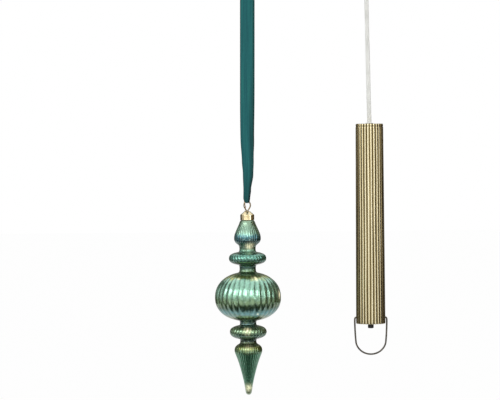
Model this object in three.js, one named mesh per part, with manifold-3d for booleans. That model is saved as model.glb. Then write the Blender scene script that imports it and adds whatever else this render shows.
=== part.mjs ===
// Lit glass finial on a doubled ribbon, with its fluted battery tube on a clear lead.
// Millimetres, +Z up. The origin is where the ribbon's top loop hangs on its hook,
// +X runs from the ornament towards the battery tube, and the front faces -Y.
import * as THREE from "three";
import { mergeVertices } from "three/addons/utils/BufferGeometryUtils.js";
import Module from "manifold-3d";

const wasm = await Module();
wasm.setup();

// Clearance between pieces that touch, turn or slide in each other
const gap = 0.3;

// Ribbon: one closed strip, over the hook and through the ornament's wire loop
const ribbonDrop = 241;
const ribbonLean = 2.2;
const ribbonWidth = 12;
const ribbonThickness = 0.5;
const ribbonCrownRadius = 4;
const layerShift = 0.5;
const pinchLength = 82;
const bightWidth = 2.6;
const bightSag = 0.15;
const rollRoom = 0.4;

// Hanger: one wire bent into a loop, a twisted neck and two spring legs
const hangerWire = 1.2;
const loopRadius = 2.8;
const loopLength = 8.2;
const twistLength = 2.8;
const legLength = 12;
const legSpread = 1;

// Cap: a pressed metal cup with a low cone on top
const capRadius = 6.3;
const capSheet = 0.5;
const capCollar = 4.6;
const capCone = 3.2;
const capLip = 1;
const capShoulder = 0.6;
const twistAboveCap = 0.7;

// Glass: a blown shell of four round forms and a drawn point
const glassWall = 1.2;
const neckWall = 1;
const neckRadius = 5.4;
const neckHeight = 5.4;
const glassRibs = 32;
const ribDepthShare = 0.022;
const stemRadius = 7.2;
const shoulderRadius = 6.9;
const shoulderRise = 1.5;
const seatInset = 0.1;
const pearRadius = 12.05;
const pearDrop = 14.2;
const pearRoundTop = 10.3;
const pearRoundBottom = 9.4;
const upperDiscRadius = 16.7;
const upperDiscDrop = 32.4;
const upperDiscRound = 6.6;
const ballRadius = 29.6;
const ballDrop = 68.6;
const ballRoundTop = 25.2;
const ballRoundBottom = 20.8;
const lowerDiscRadius = 16.6;
const lowerDiscDrop = 98.8;
const lowerDiscRound = 7.2;
const pointRadius = 12.4;
const pointDrop = 115.6;
const pointRoundTop = 7.8;
const pointLength = 40.4;
const pointTipRadius = 2.1;

// Lights: a fine copper pair with a drop of resin over each light
const lightWire = 0.6;
const lightDropRadius = 1.15;
const lightDropLength = 3.4;
const bushRadius = 0.9;
const bushHeight = 4;
const bushReach = 3.3;
const bushProud = 0.6;

// Lead: clear flat twin cable, and the fine pair that goes on from its splice
const leadWidth = 3.8;
const leadThickness = 2.2;
const leadLean = 2.1;
const pigtailWire = 0.9;
const spliceWidth = 4.8;
const spliceThickness = 2.8;
const spliceLength = 16;
const spliceTop = -64.3;
const spliceX = -0.6;
const collarWall = 0.9;
const collarHeight = 5;
const collarMiddle = -36.5;
const collarLegSpacing = 2.7;

// Battery tube: a fluted sleeve, closed at the top, that holds three cells in line
const tubeSpacing = 110.5;
const tubeTopZ = -172;
const crestRadiusTop = 12.45;
const crestRadiusBottom = 13.25;
const flutes = 28;
const fluteDepth = 0.6;
const topBevel = 0.7;
const topBand = 2.6;
const bandStep = 0.15;
const bandEdge = 0.4;
const sleeveTopWall = 2;
const boreRadiusTop = 10;
const boreRadiusBottom = 10.3;
const cellLength = 50.3;
const cellRadius = 7.1;
const cellNubRadius = 2.7;
const cellNubHeight = 1.2;
const cellCount = 3;
const wireRoom = 5;
const insulatorThickness = 1.2;
const contactThickness = 0.4;
const contactRadius = 4.4;
const linerWall = 2.1;
const linerSlotWidth = 9;
const stripWidth = 3.6;
const stripThickness = 0.35;
const stripGroove = 0.8;
const stripFootReach = 5.6;
const grommetRadius = 2.9;
const grommetLip = 0.7;
const grommetLipHeight = 0.4;
const grommetFlange = 1.9;
const grommetFlangeHeight = 1.2;
const coreWire = 1.2;
const coreSpacing = 2.2;
const plusWireX = -3;

// Tail: a screwed plug with the circuit board, switch and push button
const springHeight = 6.6;
const springWire = 0.7;
const springTurns = 4;
const springRadiusTop = 3;
const springRadiusBottom = 4.6;
const springPlateRim = 0.8;
const boardThickness = 1.2;
const boardRadius = 8.6;
const boardLedge = 0.7;
const contactRingWidth = 1.8;
const contactRingInset = 0.2;
const componentGap = 1.2;
const chipWidth = 2.6;
const chipLength = 4.9;
const chipHeight = 1.5;
const crystalRadius = 0.8;
const crystalLength = 4.6;
const resistorLength = 3.2;
const resistorWidth = 1.6;
const resistorHeight = 0.7;
const switchSize = 6;
const switchHeight = 2.8;
const switchWall = 0.7;
const plungerRadius = 1.6;
const plungerLength = 1.9;
const buttonRadius = 2.6;
const buttonFlange = 1.2;
const buttonFlangeHeight = 2.3;
const buttonProud = 4.2;
const buttonRound = 0.9;
const buttonTravel = 0.8;
const buttonRoom = 0.5;
const plugFloor = 2;
const plugRecess = 1.2;
const plugRise = 1.5;
const plugBevel = 0.4;
const coinSlotLength = 15;
const coinSlotWidth = 1.8;
const coinSlotDepth = 1;

// Bail: a wire handle whose ends turn into the sleeve's wall
const bailWire = 1.5;
const bailPivotAboveRim = 5.6;
const bailLength = 33.4;
const bailStraight = 8;
const bailArchRadius = 13.6;
const bailArchHeight = 12.8;
const bailBend = 1.4;
const bailSideGap = 0.35;
const earDepth = 2;

// Names, finishes and placing of the finished pieces
const part = new THREE.Group();
const ornament = new THREE.Group();
ornament.position.set(-ribbonLean, 0, -ribbonDrop);
const tube = new THREE.Group();
tube.position.set(tubeSpacing - ribbonLean, 0, tubeTopZ);
part.add(ornament, tube);

const finishes = {
  ribbon: { color: 0x2a6463, roughness: 0.9, metalness: 0 },
  gold: { color: 0xd8b56a, roughness: 0.2, metalness: 1 },
  steel: { color: 0x8b8172, roughness: 0.35, metalness: 1 },
  glass: { color: 0x2f7d68, roughness: 0.08, metalness: 0.3 },
  copper: { color: 0xc08355, roughness: 0.35, metalness: 1 },
  light: { color: 0xffe6ad, roughness: 0.3, metalness: 0 },
  clear: { color: 0xdcdcd8, roughness: 0.25, metalness: 0 },
  brass: { color: 0xc9b98a, roughness: 0.3, metalness: 1 },
  white: { color: 0xe6e4dc, roughness: 0.6, metalness: 0 },
  red: { color: 0xb02a22, roughness: 0.5, metalness: 0 },
  black: { color: 0x161616, roughness: 0.5, metalness: 0 },
  cell: { color: 0x3b4148, roughness: 0.4, metalness: 0.2 },
  board: { color: 0x1f5a34, roughness: 0.5, metalness: 0 },
};

const radians = THREE.MathUtils.degToRad;

function add(group, name, finish, geometry) {
  const mesh = new THREE.Mesh(geometry, new THREE.MeshStandardMaterial(finishes[finish]));
  mesh.name = name;
  group.add(mesh);
  return mesh;
}

// A closed geometry as a manifold solid, and back
function solid(geometry) {
  const bare = geometry.index ? geometry.toNonIndexed() : geometry.clone();
  bare.deleteAttribute("normal");
  bare.deleteAttribute("uv");
  const merged = mergeVertices(bare, 1e-4);
  return new wasm.Manifold(
    new wasm.Mesh({
      numProp: 3,
      vertProperties: new Float32Array(merged.attributes.position.array),
      triVerts: new Uint32Array(merged.index.array),
    }),
  );
}

function geometryOf(manifold) {
  const mesh = manifold.getMesh();
  const geometry = new THREE.BufferGeometry();
  geometry.setAttribute("position", new THREE.BufferAttribute(mesh.vertProperties, 3));
  geometry.setIndex(new THREE.BufferAttribute(mesh.triVerts, 1));
  geometry.computeVertexNormals();
  return geometry;
}

// A profile of [radius, height] points turned round the Z axis
function turned(profile, segments) {
  const points = profile.map(([r, z]) => new THREE.Vector2(r, z));
  return new THREE.LatheGeometry(points, segments).rotateX(Math.PI / 2);
}

// A profile whose last point joins its first, for rings and pieces with a bore
function turnedRing(profile, segments) {
  return turned([...profile, profile[0]], segments);
}

// A tube along a curve: width lies across the path, thickness the other way
function swept(curve, width, thickness, sides, steps) {
  const corners = Array.from({ length: sides }, (_, k) => {
    const a = (2 * Math.PI * k) / sides;
    return new THREE.Vector2((thickness / 2) * Math.cos(a), (width / 2) * Math.sin(a));
  });
  const settings = { steps, bevelEnabled: false, extrudePath: curve };
  return new THREE.ExtrudeGeometry(new THREE.Shape(corners), settings);
}

function smooth(points) {
  const stops = points.map(([x, y, z]) => new THREE.Vector3(x, y, z));
  return new THREE.CatmullRomCurve3(stops, false, "centripetal");
}

function box(sizeX, sizeY, sizeZ, x, y, z) {
  return new THREE.BoxGeometry(sizeX, sizeY, sizeZ).translate(x, y, z);
}

function rodZ(radius, z0, z1, segments, x = 0, y = 0) {
  const rod = new THREE.CylinderGeometry(radius, radius, Math.abs(z1 - z0), segments);
  return rod.rotateX(Math.PI / 2).translate(x, y, (z0 + z1) / 2);
}

// A value read off a short list of [place, value] stops, straight between them
function between(stops, place) {
  const after = stops.findIndex(([at]) => at >= place);
  if (after < 1) return stops[after === 0 ? 0 : stops.length - 1][1];
  const [a, va] = stops[after - 1];
  const [b, vb] = stops[after];
  return va + ((vb - va) * (place - a)) / (b - a);
}

// Ribbon

// The channel at the bottom leaves room for the wire to roll in it
const bightRadius = hangerWire / 2 + rollRoom;
const spliceZ = spliceTop - spliceLength;
const layersAtSplice = spliceThickness / 2 + gap;

// Half the ribbon's width by height above the wire
const ribbonHalfWidth = [
  [0, bightWidth / 2],
  [1.2, bightWidth / 2 + 1],
  [3, ribbonWidth * 0.245],
  [pinchLength * 0.12, ribbonWidth * 0.276],
  [pinchLength * 0.23, ribbonWidth * 0.335],
  [pinchLength * 0.3, ribbonWidth * 0.375],
  [pinchLength * 0.34, ribbonWidth * 0.405],
  [pinchLength * 0.45, ribbonWidth * 0.427],
  [pinchLength * 0.67, ribbonWidth * 0.47],
  [pinchLength, ribbonWidth * 0.5],
];

// Half the space between the layers by height above the wire
const ribbonHalfGap = [
  [0, bightRadius],
  [6, bightRadius],
  [ribbonDrop + spliceZ - 8, layersAtSplice],
  [ribbonDrop + spliceTop, layersAtSplice],
  [ribbonDrop - ribbonCrownRadius, ribbonCrownRadius],
];

// How far each layer lies to its own side
const ribbonShift = [
  [0, 0],
  [20, layerShift],
  [ribbonDrop - 60, layerShift],
  [ribbonDrop - 20, 0],
];

// Four corners across the strip at one place: y and z on its inner face, and the way out of the loop
function acrossRibbon(side, height, y, z, outY, outZ) {
  const middle = -ribbonLean * (1 - height / ribbonDrop) + side * between(ribbonShift, height);
  const half = between(ribbonHalfWidth, height);
  const y1 = y + outY * ribbonThickness;
  const z1 = z + outZ * ribbonThickness;
  return [
    new THREE.Vector3(middle - half, y, z),
    new THREE.Vector3(middle + half, y, z),
    new THREE.Vector3(middle + half, y1, z1),
    new THREE.Vector3(middle - half, y1, z1),
  ];
}

function ribbonLayer(side) {
  const tops = [...ribbonHalfWidth, ...ribbonHalfGap, ...ribbonShift].map(([height]) => height);
  const heights = [...new Set(tops)].sort((a, b) => a - b);
  return heights.map((height) => {
    const y = side * between(ribbonHalfGap, height);
    return acrossRibbon(side, height, y, height - ribbonDrop, side, 0);
  });
}

function ribbonArc(radius, centreZ, fromAngle, height, steps) {
  return Array.from({ length: steps - 1 }, (_, k) => {
    const a = fromAngle + (Math.PI * (k + 1)) / steps;
    const out = [Math.cos(a), Math.sin(a)];
    return acrossRibbon(0, height, radius * out[0], centreZ + radius * out[1], ...out);
  });
}

// Sections joined one to the next and the last to the first
function closedLoft(sections) {
  const corners = sections[0].length;
  const geometry = new THREE.BufferGeometry().setFromPoints(sections.flat());
  const faces = [];
  sections.forEach((_, i) => {
    const here = i * corners;
    const next = ((i + 1) % sections.length) * corners;
    for (let k = 0; k < corners; k += 1) {
      const l = (k + 1) % corners;
      faces.push(here + k, here + l, next + l, here + k, next + l, next + k);
    }
  });
  geometry.setIndex(faces);
  geometry.computeVertexNormals();
  return geometry;
}

function makeRibbon() {
  const down = ribbonLayer(-1).reverse();
  const under = ribbonArc(bightRadius, -ribbonDrop - bightSag, Math.PI, 0, 8);
  const up = ribbonLayer(1);
  const over = ribbonArc(ribbonCrownRadius, -ribbonCrownRadius, 0, ribbonDrop, 10);
  add(part, "ribbon", "ribbon", closedLoft([...down, ...under, ...up, ...over]));
}

// Hanger wire. Its top is the height 0 of the ornament.

const twistTop = -loopLength;
const twistBottom = twistTop - twistLength;
const twistRadius = (hangerWire + gap) / 2;
const legReach = neckRadius - neckWall - hangerWire / 2 - gap;

function makeHanger() {
  const arc = [0, 30, 60, 90].map((degrees) => {
    const a = radians(degrees);
    return [loopRadius * Math.sin(a), 0, loopRadius * (Math.cos(a) - 1)];
  });
  const sides = [
    [loopRadius, 0, -loopLength * 0.5],
    [loopRadius * 0.8, 0, -loopLength * 0.7],
    [loopRadius * 0.48, 0, -loopLength * 0.88],
  ];
  const twist = [0, 45, 90, 135, 180].map((degrees) => {
    const a = radians(degrees);
    const z = twistTop - (twistLength * degrees) / 180;
    return [twistRadius * Math.cos(a), twistRadius * Math.sin(a), z];
  });
  const leg = [
    [-legReach * 0.55, 0, twistBottom - legLength * 0.22],
    [-legReach, 0, twistBottom - legLength * 0.45],
    [-legReach, 0, twistBottom - legLength * 0.68],
    [-legReach - legSpread, 0, twistBottom - legLength],
  ];
  // The right half from the loop's top down to its leg; the left half is the same turned half round
  const right = [...arc, ...sides, ...twist, ...leg];
  const left = right.slice(1).reverse().map(([x, y, z]) => [-x, -y, z]);
  const route = smooth([...left, ...right]);
  add(ornament, "hanger_wire", "gold", swept(route, hangerWire, hangerWire, 6, 72));
}

// Cap

const capTop = twistTop - twistAboveCap;
const capHole = twistRadius + hangerWire / 2 + gap;
const collarTop = capTop - capCone;
const collarBottom = collarTop - capCollar;
const bushAngle = radians(120);
const bushX = bushReach * Math.cos(bushAngle);
const bushY = bushReach * Math.sin(bushAngle);
const bushTop = capTop + bushProud;
const bushBottom = bushTop - bushHeight;

function makeCap() {
  const outside = [
    [capRadius, collarBottom],
    [capRadius, collarTop],
    [capRadius - capShoulder, collarTop + capShoulder],
    [capHole + capLip, capTop],
    [capHole, capTop],
  ];
  const inside = [
    [capHole, capTop - capSheet],
    [capHole + capLip, capTop - capSheet],
    [capRadius - capShoulder - capSheet, collarTop + capShoulder - capSheet],
    [capRadius - capSheet, collarTop - capSheet],
    [capRadius - capSheet, collarBottom],
  ];
  const hole = rodZ(bushRadius + gap, collarBottom, capTop + 1, 12, bushX, bushY);
  const cap = solid(turnedRing([...outside, ...inside], 28)).subtract(solid(hole));
  add(ornament, "ornament_cap", "gold", geometryOf(cap));
  const bore = lightWire / 2 + gap;
  const bush = [
    [bore, bushBottom],
    [bushRadius, bushBottom],
    [bushRadius, bushTop],
    [bore, bushTop],
  ];
  add(ornament, "cap_bush", "clear", turnedRing(bush, 12).translate(bushX, bushY, 0));
}

// Glass finial

const glassSeat = collarBottom - gap;
const glassTop = glassSeat - shoulderRise;
const upperDisc = glassTop - upperDiscDrop;
const ball = glassTop - ballDrop;
const lowerDisc = glassTop - lowerDiscDrop;

// Stretches of a round form: quarter ovals that start or end on a stem of the given radius
function ovalStretch(radius, height, middle, stem, steps, way) {
  const last = Math.acos(Math.min(1, stem / radius));
  return Array.from({ length: steps }, (_, k) => {
    const a = (last * (k + 1)) / steps;
    return [radius * Math.cos(a), middle + way * height * Math.sin(a)];
  });
}

function roundForm(radius, middle, up, down, stem, steps) {
  const above = ovalStretch(radius, up, middle, stem, steps, 1).reverse();
  const below = ovalStretch(radius, down, middle, stem, steps, -1);
  return [...above, [radius, middle], ...below];
}

function glassOutline(shrink, steps) {
  const pearMiddle = glassTop - pearDrop;
  const pointMiddle = glassTop - pointDrop;
  const r = (radius) => radius - shrink;
  const stem = r(stemRadius);
  const pear = r(pearRadius);
  const pearUpper = ovalStretch(pear, pearRoundTop, pearMiddle, pear * 0.93, 1, 1).reverse();
  const pearLower = ovalStretch(pear, pearRoundBottom, pearMiddle, stem, steps.pear, -1);
  const point = r(pointRadius);
  const pointUpper = ovalStretch(point, pointRoundTop, pointMiddle, stem, steps.disc, 1).reverse();
  const taper = [
    [0.06, 0.96],
    [0.2, 0.745],
    [0.37, 0.6],
    [0.57, 0.435],
    [0.76, 0.294],
    [0.88, 0.225],
  ].map(([down, share]) => [pointRadius * share - shrink, pointMiddle - pointLength * down]);
  const tipMiddle = pointMiddle - pointLength + pointTipRadius;
  const tip = [0, 40].map((degrees) => {
    const a = radians(degrees);
    return [pointTipRadius * Math.cos(a), tipMiddle - pointTipRadius * Math.sin(a)];
  });
  return {
    body: [
      [r(shoulderRadius), glassTop],
      ...pearUpper,
      [pear, pearMiddle],
      ...pearLower,
      ...roundForm(r(upperDiscRadius), upperDisc, upperDiscRound, upperDiscRound, stem, steps.disc),
      ...roundForm(r(ballRadius), ball, ballRoundTop, ballRoundBottom, stem, steps.ball),
      ...roundForm(r(lowerDiscRadius), lowerDisc, lowerDiscRound, lowerDiscRound, stem, steps.disc),
      ...pointUpper,
      [point, pointMiddle],
      ...taper,
    ],
    tip: [...tip, [0, pointMiddle - pointLength]],
  };
}

// Moves every second column of a turned form inwards, in step with its radius
function ribbed(geometry, columns, share, fromZ) {
  const position = geometry.attributes.position;
  const rows = position.count / (columns + 1);
  for (let i = 0; i < position.count; i += 1) {
    const column = Math.floor(i / rows);
    if (column % 2 === 1 && position.getZ(i) < fromZ) {
      position.setX(i, position.getX(i) * (1 - share));
      position.setY(i, position.getY(i) * (1 - share));
    }
  }
  return geometry;
}

function makeGlass() {
  const outline = glassOutline(0, { pear: 3, disc: 2, ball: 5 });
  const neckTop = glassTop + neckHeight;
  const neck = [
    [0, neckTop],
    [neckRadius, neckTop],
    [neckRadius, glassSeat],
    [capRadius - seatInset, glassSeat],
  ];
  const outer = [...neck, ...outline.body, ...outline.tip].reverse();
  const columns = 2 * glassRibs;
  const shell = solid(ribbed(turned(outer, columns), columns, ribDepthShare, glassTop - 1));
  const hollow = glassOutline(glassWall, { pear: 2, disc: 2, ball: 3 }).body;
  const bore = neckRadius - neckWall;
  const [endRadius, endZ] = hollow[hollow.length - 1];
  const inner = [
    [0, neckTop + 1],
    [bore, neckTop + 1],
    [bore, glassTop - 1],
    ...hollow.slice(1),
    [endRadius * 0.6, endZ - endRadius * 1.6],
    [0, endZ - endRadius * 2],
  ];
  const cavity = solid(turned(inner.reverse(), 24));
  add(ornament, "glass_finial", "glass", geometryOf(shell.subtract(cavity)));
}

// Lights

// Stops of the wire: down the middle of the glass, out to the wall of the ball and on to the
// point. A stop marked true has a light.
function lightStops() {
  const pointed = glassTop - pointDrop;
  const wide = ballRadius * 0.84;
  const inBall = [
    [0.33, -50, 0.66, true],
    [0.66, -40, 0.4, false],
    [1, -8, 0.15, true],
    [0.98, 60, 0, false],
    [0.92, 130, -0.14, true],
    [0.82, 195, -0.28, false],
    [0.45, 250, -0.44, false],
  ].map(([share, degrees, height, lit]) => {
    const a = radians(degrees);
    return [wide * share * Math.cos(a), wide * share * Math.sin(a), ball + ballRoundTop * height, lit];
  });
  return [
    [bushX, bushY, bushTop],
    [bushX, bushY, bushTop - bushHeight / 2],
    [bushX, bushY, bushBottom],
    [-0.9, 1.9, glassTop + 1],
    [1.2, -1.2, glassTop - pearDrop * 0.7],
    [1.8, -2.6, glassTop - pearDrop - pearRoundBottom * 0.7, true],
    [-0.6, 0.4, (glassTop - pearDrop - pearRoundBottom + upperDisc) / 2],
    [-1.4, 0.8, upperDisc],
    [0.6, -0.8, (upperDisc + ball + ballRoundTop) / 2],
    ...inBall,
    [-0.6, -1.2, ball - ballRoundBottom],
    [-2.2, -4.4, lowerDisc, true],
    [0.8, 0.8, (lowerDisc + pointed) / 2 - 1],
    [2.4, -2.6, pointed, true],
    [0.6, -0.8, pointed - pointLength * 0.34],
    [-0.2, -0.2, pointed - pointLength * 0.62],
    [-0.2, -0.1, pointed - pointLength * 0.79, true],
    [-0.2, -0.1, pointed - pointLength * 0.84],
  ];
}

function makeLights() {
  const stops = lightStops();
  const route = smooth(stops);
  const steps = 80;
  add(ornament, "light_wire", "copper", swept(route, lightWire, lightWire, 5, steps));
  // Clear of the wire all round, so that each drop is a bead on it
  const room = lightWire + 2 * gap;
  const sheath = solid(swept(route, room, room, 6, steps));
  const places = stops.map((stop, i) => (stop[3] ? i / (stops.length - 1) : 0)).filter(Boolean);
  places.forEach((place, i) => {
    const drop = new THREE.SphereGeometry(1, 8, 6);
    drop.scale(lightDropRadius, lightDropLength / 2, lightDropRadius);
    const up = new THREE.Vector3(0, 1, 0);
    drop.applyQuaternion(new THREE.Quaternion().setFromUnitVectors(up, route.getTangent(place)));
    const centre = route.getPoint(place);
    drop.translate(centre.x, centre.y, centre.z);
    add(ornament, `light_${i + 1}`, "light", geometryOf(solid(drop).subtract(sheath)));
  });
}

// Lead, from the top of the battery tube over its own hook and into the ribbon

const tubeX = tubeSpacing - ribbonLean;
const grommetTop = gap + grommetLipHeight;
const leadExitZ = tubeTopZ + grommetTop;

function makeLead() {
  const half = collarLegSpacing / 2;
  const route = smooth([
    [tubeX, 0, leadExitZ + gap],
    [tubeX - 0.05, 0, leadExitZ + 6],
    [tubeX - 0.4, 0, -148],
    [tubeX - 0.85, 0, -120],
    [tubeX - 1.35, -0.2, -90],
    [tubeX - 1.8, -0.7, -62],
    [tubeX - 2, -half, -46],
    [tubeX - leadLean, -half, -40],
    [tubeX - leadLean, -half, -33],
    [tubeX - leadLean, -4.4, -23],
    [tubeX - leadLean, -7.2, -14],
    [tubeX - leadLean, -6.6, -7],
    [tubeX - leadLean, -3.6, -3],
    [tubeX - leadLean, 0, -1.6],
    [tubeX - leadLean, 3.6, -3],
    [tubeX - leadLean, 6.6, -7],
    [tubeX - leadLean, 7.2, -14],
    [tubeX - leadLean, 4.4, -23],
    [tubeX - leadLean, half, -33],
    [tubeX - leadLean, half, -40],
    [tubeX - 4.6, half, -47.4],
    [tubeX - 11, 1.5, -51.6],
    [tubeX - 24, 1.8, -53],
    [tubeX - 44, 2, -53],
    [tubeX - 64, 1.6, -51.6],
    [tubeX - 81, 1, -49],
    [tubeX - 94, 0.4, -46.4],
    [6, 0, -46.4],
    [1.6, 0, -49],
    [-0.5, 0, -55],
    [spliceX, 0, spliceTop + gap],
  ]);
  add(part, "clear_lead", "clear", swept(route, leadWidth, leadThickness, 8, 80));
}

// A short clear collar closes the lead's own hanging loop
function makeCollar() {
  const x = leadWidth / 2 + gap;
  const y = (collarLegSpacing + leadThickness) / 2 + gap;
  const rounded = (shape, halfX, halfY, radius) => {
    shape.moveTo(-halfX + radius, -halfY);
    shape.lineTo(halfX - radius, -halfY);
    shape.absarc(halfX - radius, -halfY + radius, radius, -Math.PI / 2, 0);
    shape.absarc(halfX - radius, halfY - radius, radius, 0, Math.PI / 2);
    shape.absarc(-halfX + radius, halfY - radius, radius, Math.PI / 2, Math.PI);
    shape.absarc(-halfX + radius, -halfY + radius, radius, Math.PI, Math.PI * 1.5);
    return shape;
  };
  const cornerRadius = 0.6;
  const shape = rounded(new THREE.Shape(), x + collarWall, y + collarWall, cornerRadius + collarWall);
  shape.holes.push(rounded(new THREE.Path(), x, y, cornerRadius));
  const settings = { depth: collarHeight, bevelEnabled: false, curveSegments: 3 };
  const collar = new THREE.ExtrudeGeometry(shape, settings);
  collar.translate(tubeX - leadLean, 0, collarMiddle - collarHeight / 2);
  add(part, "lead_collar", "clear", collar);
}

function makeSplice() {
  const barrel = turned([
    [0, 0],
    [0.75, 0],
    [1, spliceLength * 0.12],
    [1, spliceLength * 0.88],
    [0.75, spliceLength],
    [0, spliceLength],
  ], 16);
  barrel.scale(spliceWidth / 2, spliceThickness / 2, 1);
  add(part, "splice_sleeve", "clear", barrel.translate(spliceX, 0, spliceZ));
}

function makePigtail() {
  const entryX = bushX - ribbonLean;
  const entryZ = bushTop - ribbonDrop;
  const route = smooth([
    [spliceX, 0, spliceZ - gap],
    [-0.8, 0, spliceZ - 8],
    [-1.1, 0, -120],
    [-1.6, 0, -160],
    [-2, 0, -195],
    [-3.1, 0, -ribbonDrop + 26],
    [-4.3, 0, -ribbonDrop + 13],
    [-4.9, 0, -ribbonDrop + 6],
    [-4.9, 0.7, -ribbonDrop + 1.2],
    [-4.2, 1.6, -ribbonDrop - 2.4],
    [-3.6, 2.2, -ribbonDrop - 5],
    [entryX, bushY, entryZ + 2],
    [entryX, bushY, entryZ + gap],
  ]);
  add(part, "lead_pigtail", "copper", swept(route, pigtailWire, pigtailWire, 8, 56));
}

// Battery tube. Its top face is the height 0 of the tube's group.

const insulatorTop = -sleeveTopWall - wireRoom;
const insulatorBottom = insulatorTop - insulatorThickness;
const contactTop = insulatorBottom - gap;
const contactBottom = contactTop - contactThickness;
const cellsTop = contactBottom - gap;
const cellPitch = cellLength + gap;
const cellsBottom = cellsTop - cellCount * cellPitch + gap;
const springTop = cellsBottom - gap;
const springBottom = springTop - springHeight;
const plateTop = springBottom - gap;
const plateBottom = plateTop - contactThickness;
const boardTop = plateBottom - gap;
const boardBottom = boardTop - boardThickness;
const switchTop = boardBottom - gap;
const switchBottom = switchTop - switchHeight;
const buttonTop = switchBottom - buttonTravel - buttonRoom;
const plugFloorTop = buttonTop - buttonFlangeHeight - gap;
const plugBottom = plugFloorTop - plugFloor;
const sleeveBottom = plugBottom - plugRecess;
const plugTop = plateTop + plugRise;
const pivotZ = sleeveBottom + bailPivotAboveRim;
const plugRadius = boreRadiusBottom - gap;
const linerRadius = boreRadiusTop - gap;

function crestAt(z) {
  return crestRadiusTop + ((crestRadiusBottom - crestRadiusTop) * z) / sleeveBottom;
}

function makeSleeve() {
  const hole = grommetRadius + gap;
  const profile = [
    [boreRadiusBottom, sleeveBottom],
    [crestRadiusBottom, sleeveBottom],
    [crestAt(-topBand), -topBand],
    [crestRadiusTop - bandStep, -topBand + bandEdge],
    [crestRadiusTop - bandStep, -topBevel],
    [crestRadiusTop - topBevel, 0],
    [hole, 0],
    [hole, -sleeveTopWall],
    [boreRadiusTop, -sleeveTopWall],
  ];
  const columns = 2 * flutes;
  const body = turnedRing(profile, columns);
  const position = body.attributes.position;
  const rows = position.count / (columns + 1);
  // The valleys of the flutes run unbroken from the top edge to the rim
  const outerRows = profile.findIndex(([r]) => r === hole);
  for (let i = 0; i < position.count; i += 1) {
    const row = i % rows;
    if (Math.floor(i / rows) % 2 === 1 && row > 0 && row < outerRows) {
      const share = 1 - fluteDepth / Math.hypot(position.getX(i), position.getY(i));
      position.setX(i, position.getX(i) * share);
      position.setY(i, position.getY(i) * share);
    }
  }
  const earRadius = bailWire / 2 + gap;
  const ear = new THREE.CylinderGeometry(earRadius, earRadius, 2 * earDepth, 12).rotateZ(Math.PI / 2);
  const right = solid(ear.clone().translate(crestAt(pivotZ), 0, pivotZ));
  const left = solid(ear.clone().translate(-crestAt(pivotZ), 0, pivotZ));
  const sleeve = solid(body).subtract(right).subtract(left);
  add(tube, "fluted_sleeve", "brass", geometryOf(sleeve));
}

function makeGrommet() {
  const flangeTop = -sleeveTopWall - gap;
  const profile = [
    [0, flangeTop - grommetFlangeHeight],
    [grommetRadius + grommetFlange, flangeTop - grommetFlangeHeight],
    [grommetRadius + grommetFlange, flangeTop],
    [grommetRadius, flangeTop],
    [grommetRadius, gap],
    [grommetRadius + grommetLip, gap],
    [grommetRadius + grommetLip * 0.5, grommetTop],
    [0, grommetTop],
  ];
  add(tube, "lead_grommet", "clear", turned(profile, 20));
  return flangeTop - grommetFlangeHeight;
}

const stripInner = linerRadius - stripGroove;
const stripOuter = stripInner + stripThickness;
const stripFootTop = insulatorTop + gap + stripThickness;
const ringOuter = boardRadius - contactRingInset;
const ringInner = ringOuter - contactRingWidth;

// The room for the strip behind the cells, centred on one height
function stripSlot(middle, height) {
  const depth = stripGroove + gap;
  return solid(box(stripWidth + 2 * gap, 2 * depth, height, 0, linerRadius, middle));
}

function makeWires() {
  const start = makeGrommet() - gap;
  const plus = smooth([
    [-coreSpacing / 2, 0, start],
    [-coreSpacing / 2 - 0.3, 0, start - 0.8],
    [plusWireX + 0.1, 0, insulatorTop + 1.4],
    [plusWireX, 0, insulatorTop],
    [plusWireX, 0, contactTop + gap],
  ]);
  add(tube, "plus_wire", "red", swept(plus, coreWire, coreWire, 6, 12));
  const minus = smooth([
    [coreSpacing / 2, 0, start],
    [coreSpacing / 2 + 0.1, 0.3, start - 0.8],
    [0.9, stripFootReach - 1.6, start - 1.3],
    [0.2, stripFootReach + 0.8, stripFootTop + 1.6],
    [0, stripFootReach + 1.2, stripFootTop + gap],
  ]);
  add(tube, "minus_wire", "black", swept(minus, coreWire, coreWire, 6, 14));
  const disc = solid(rodZ(linerRadius, insulatorBottom, insulatorTop, 32));
  const holeRadius = coreWire / 2 + gap;
  const wireHole = solid(rodZ(holeRadius, insulatorBottom - 1, insulatorTop + 1, 10, plusWireX, 0));
  const insulator = disc.subtract(wireHole).subtract(stripSlot(insulatorTop, 3 * insulatorThickness));
  add(tube, "top_insulator", "white", geometryOf(insulator));
  add(tube, "plus_contact", "steel", rodZ(contactRadius, contactBottom, contactTop, 24));
}

function makeCells() {
  const names = ["cell_upper", "cell_middle", "cell_lower"];
  for (let i = 0; i < cellCount; i += 1) {
    const top = cellsTop - i * cellPitch;
    const shoulder = top - cellNubHeight;
    const bottom = top - cellLength;
    const profile = [
      [0, bottom],
      [cellRadius - 1, bottom],
      [cellRadius, bottom + 0.6],
      [cellRadius, shoulder - 0.6],
      [cellRadius - 1, shoulder],
      [cellNubRadius, shoulder],
      [cellNubRadius, top],
      [0, top],
    ];
    add(tube, names[i] ?? `cell_${i + 1}`, "cell", turned(profile, 14));
  }
}

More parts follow.
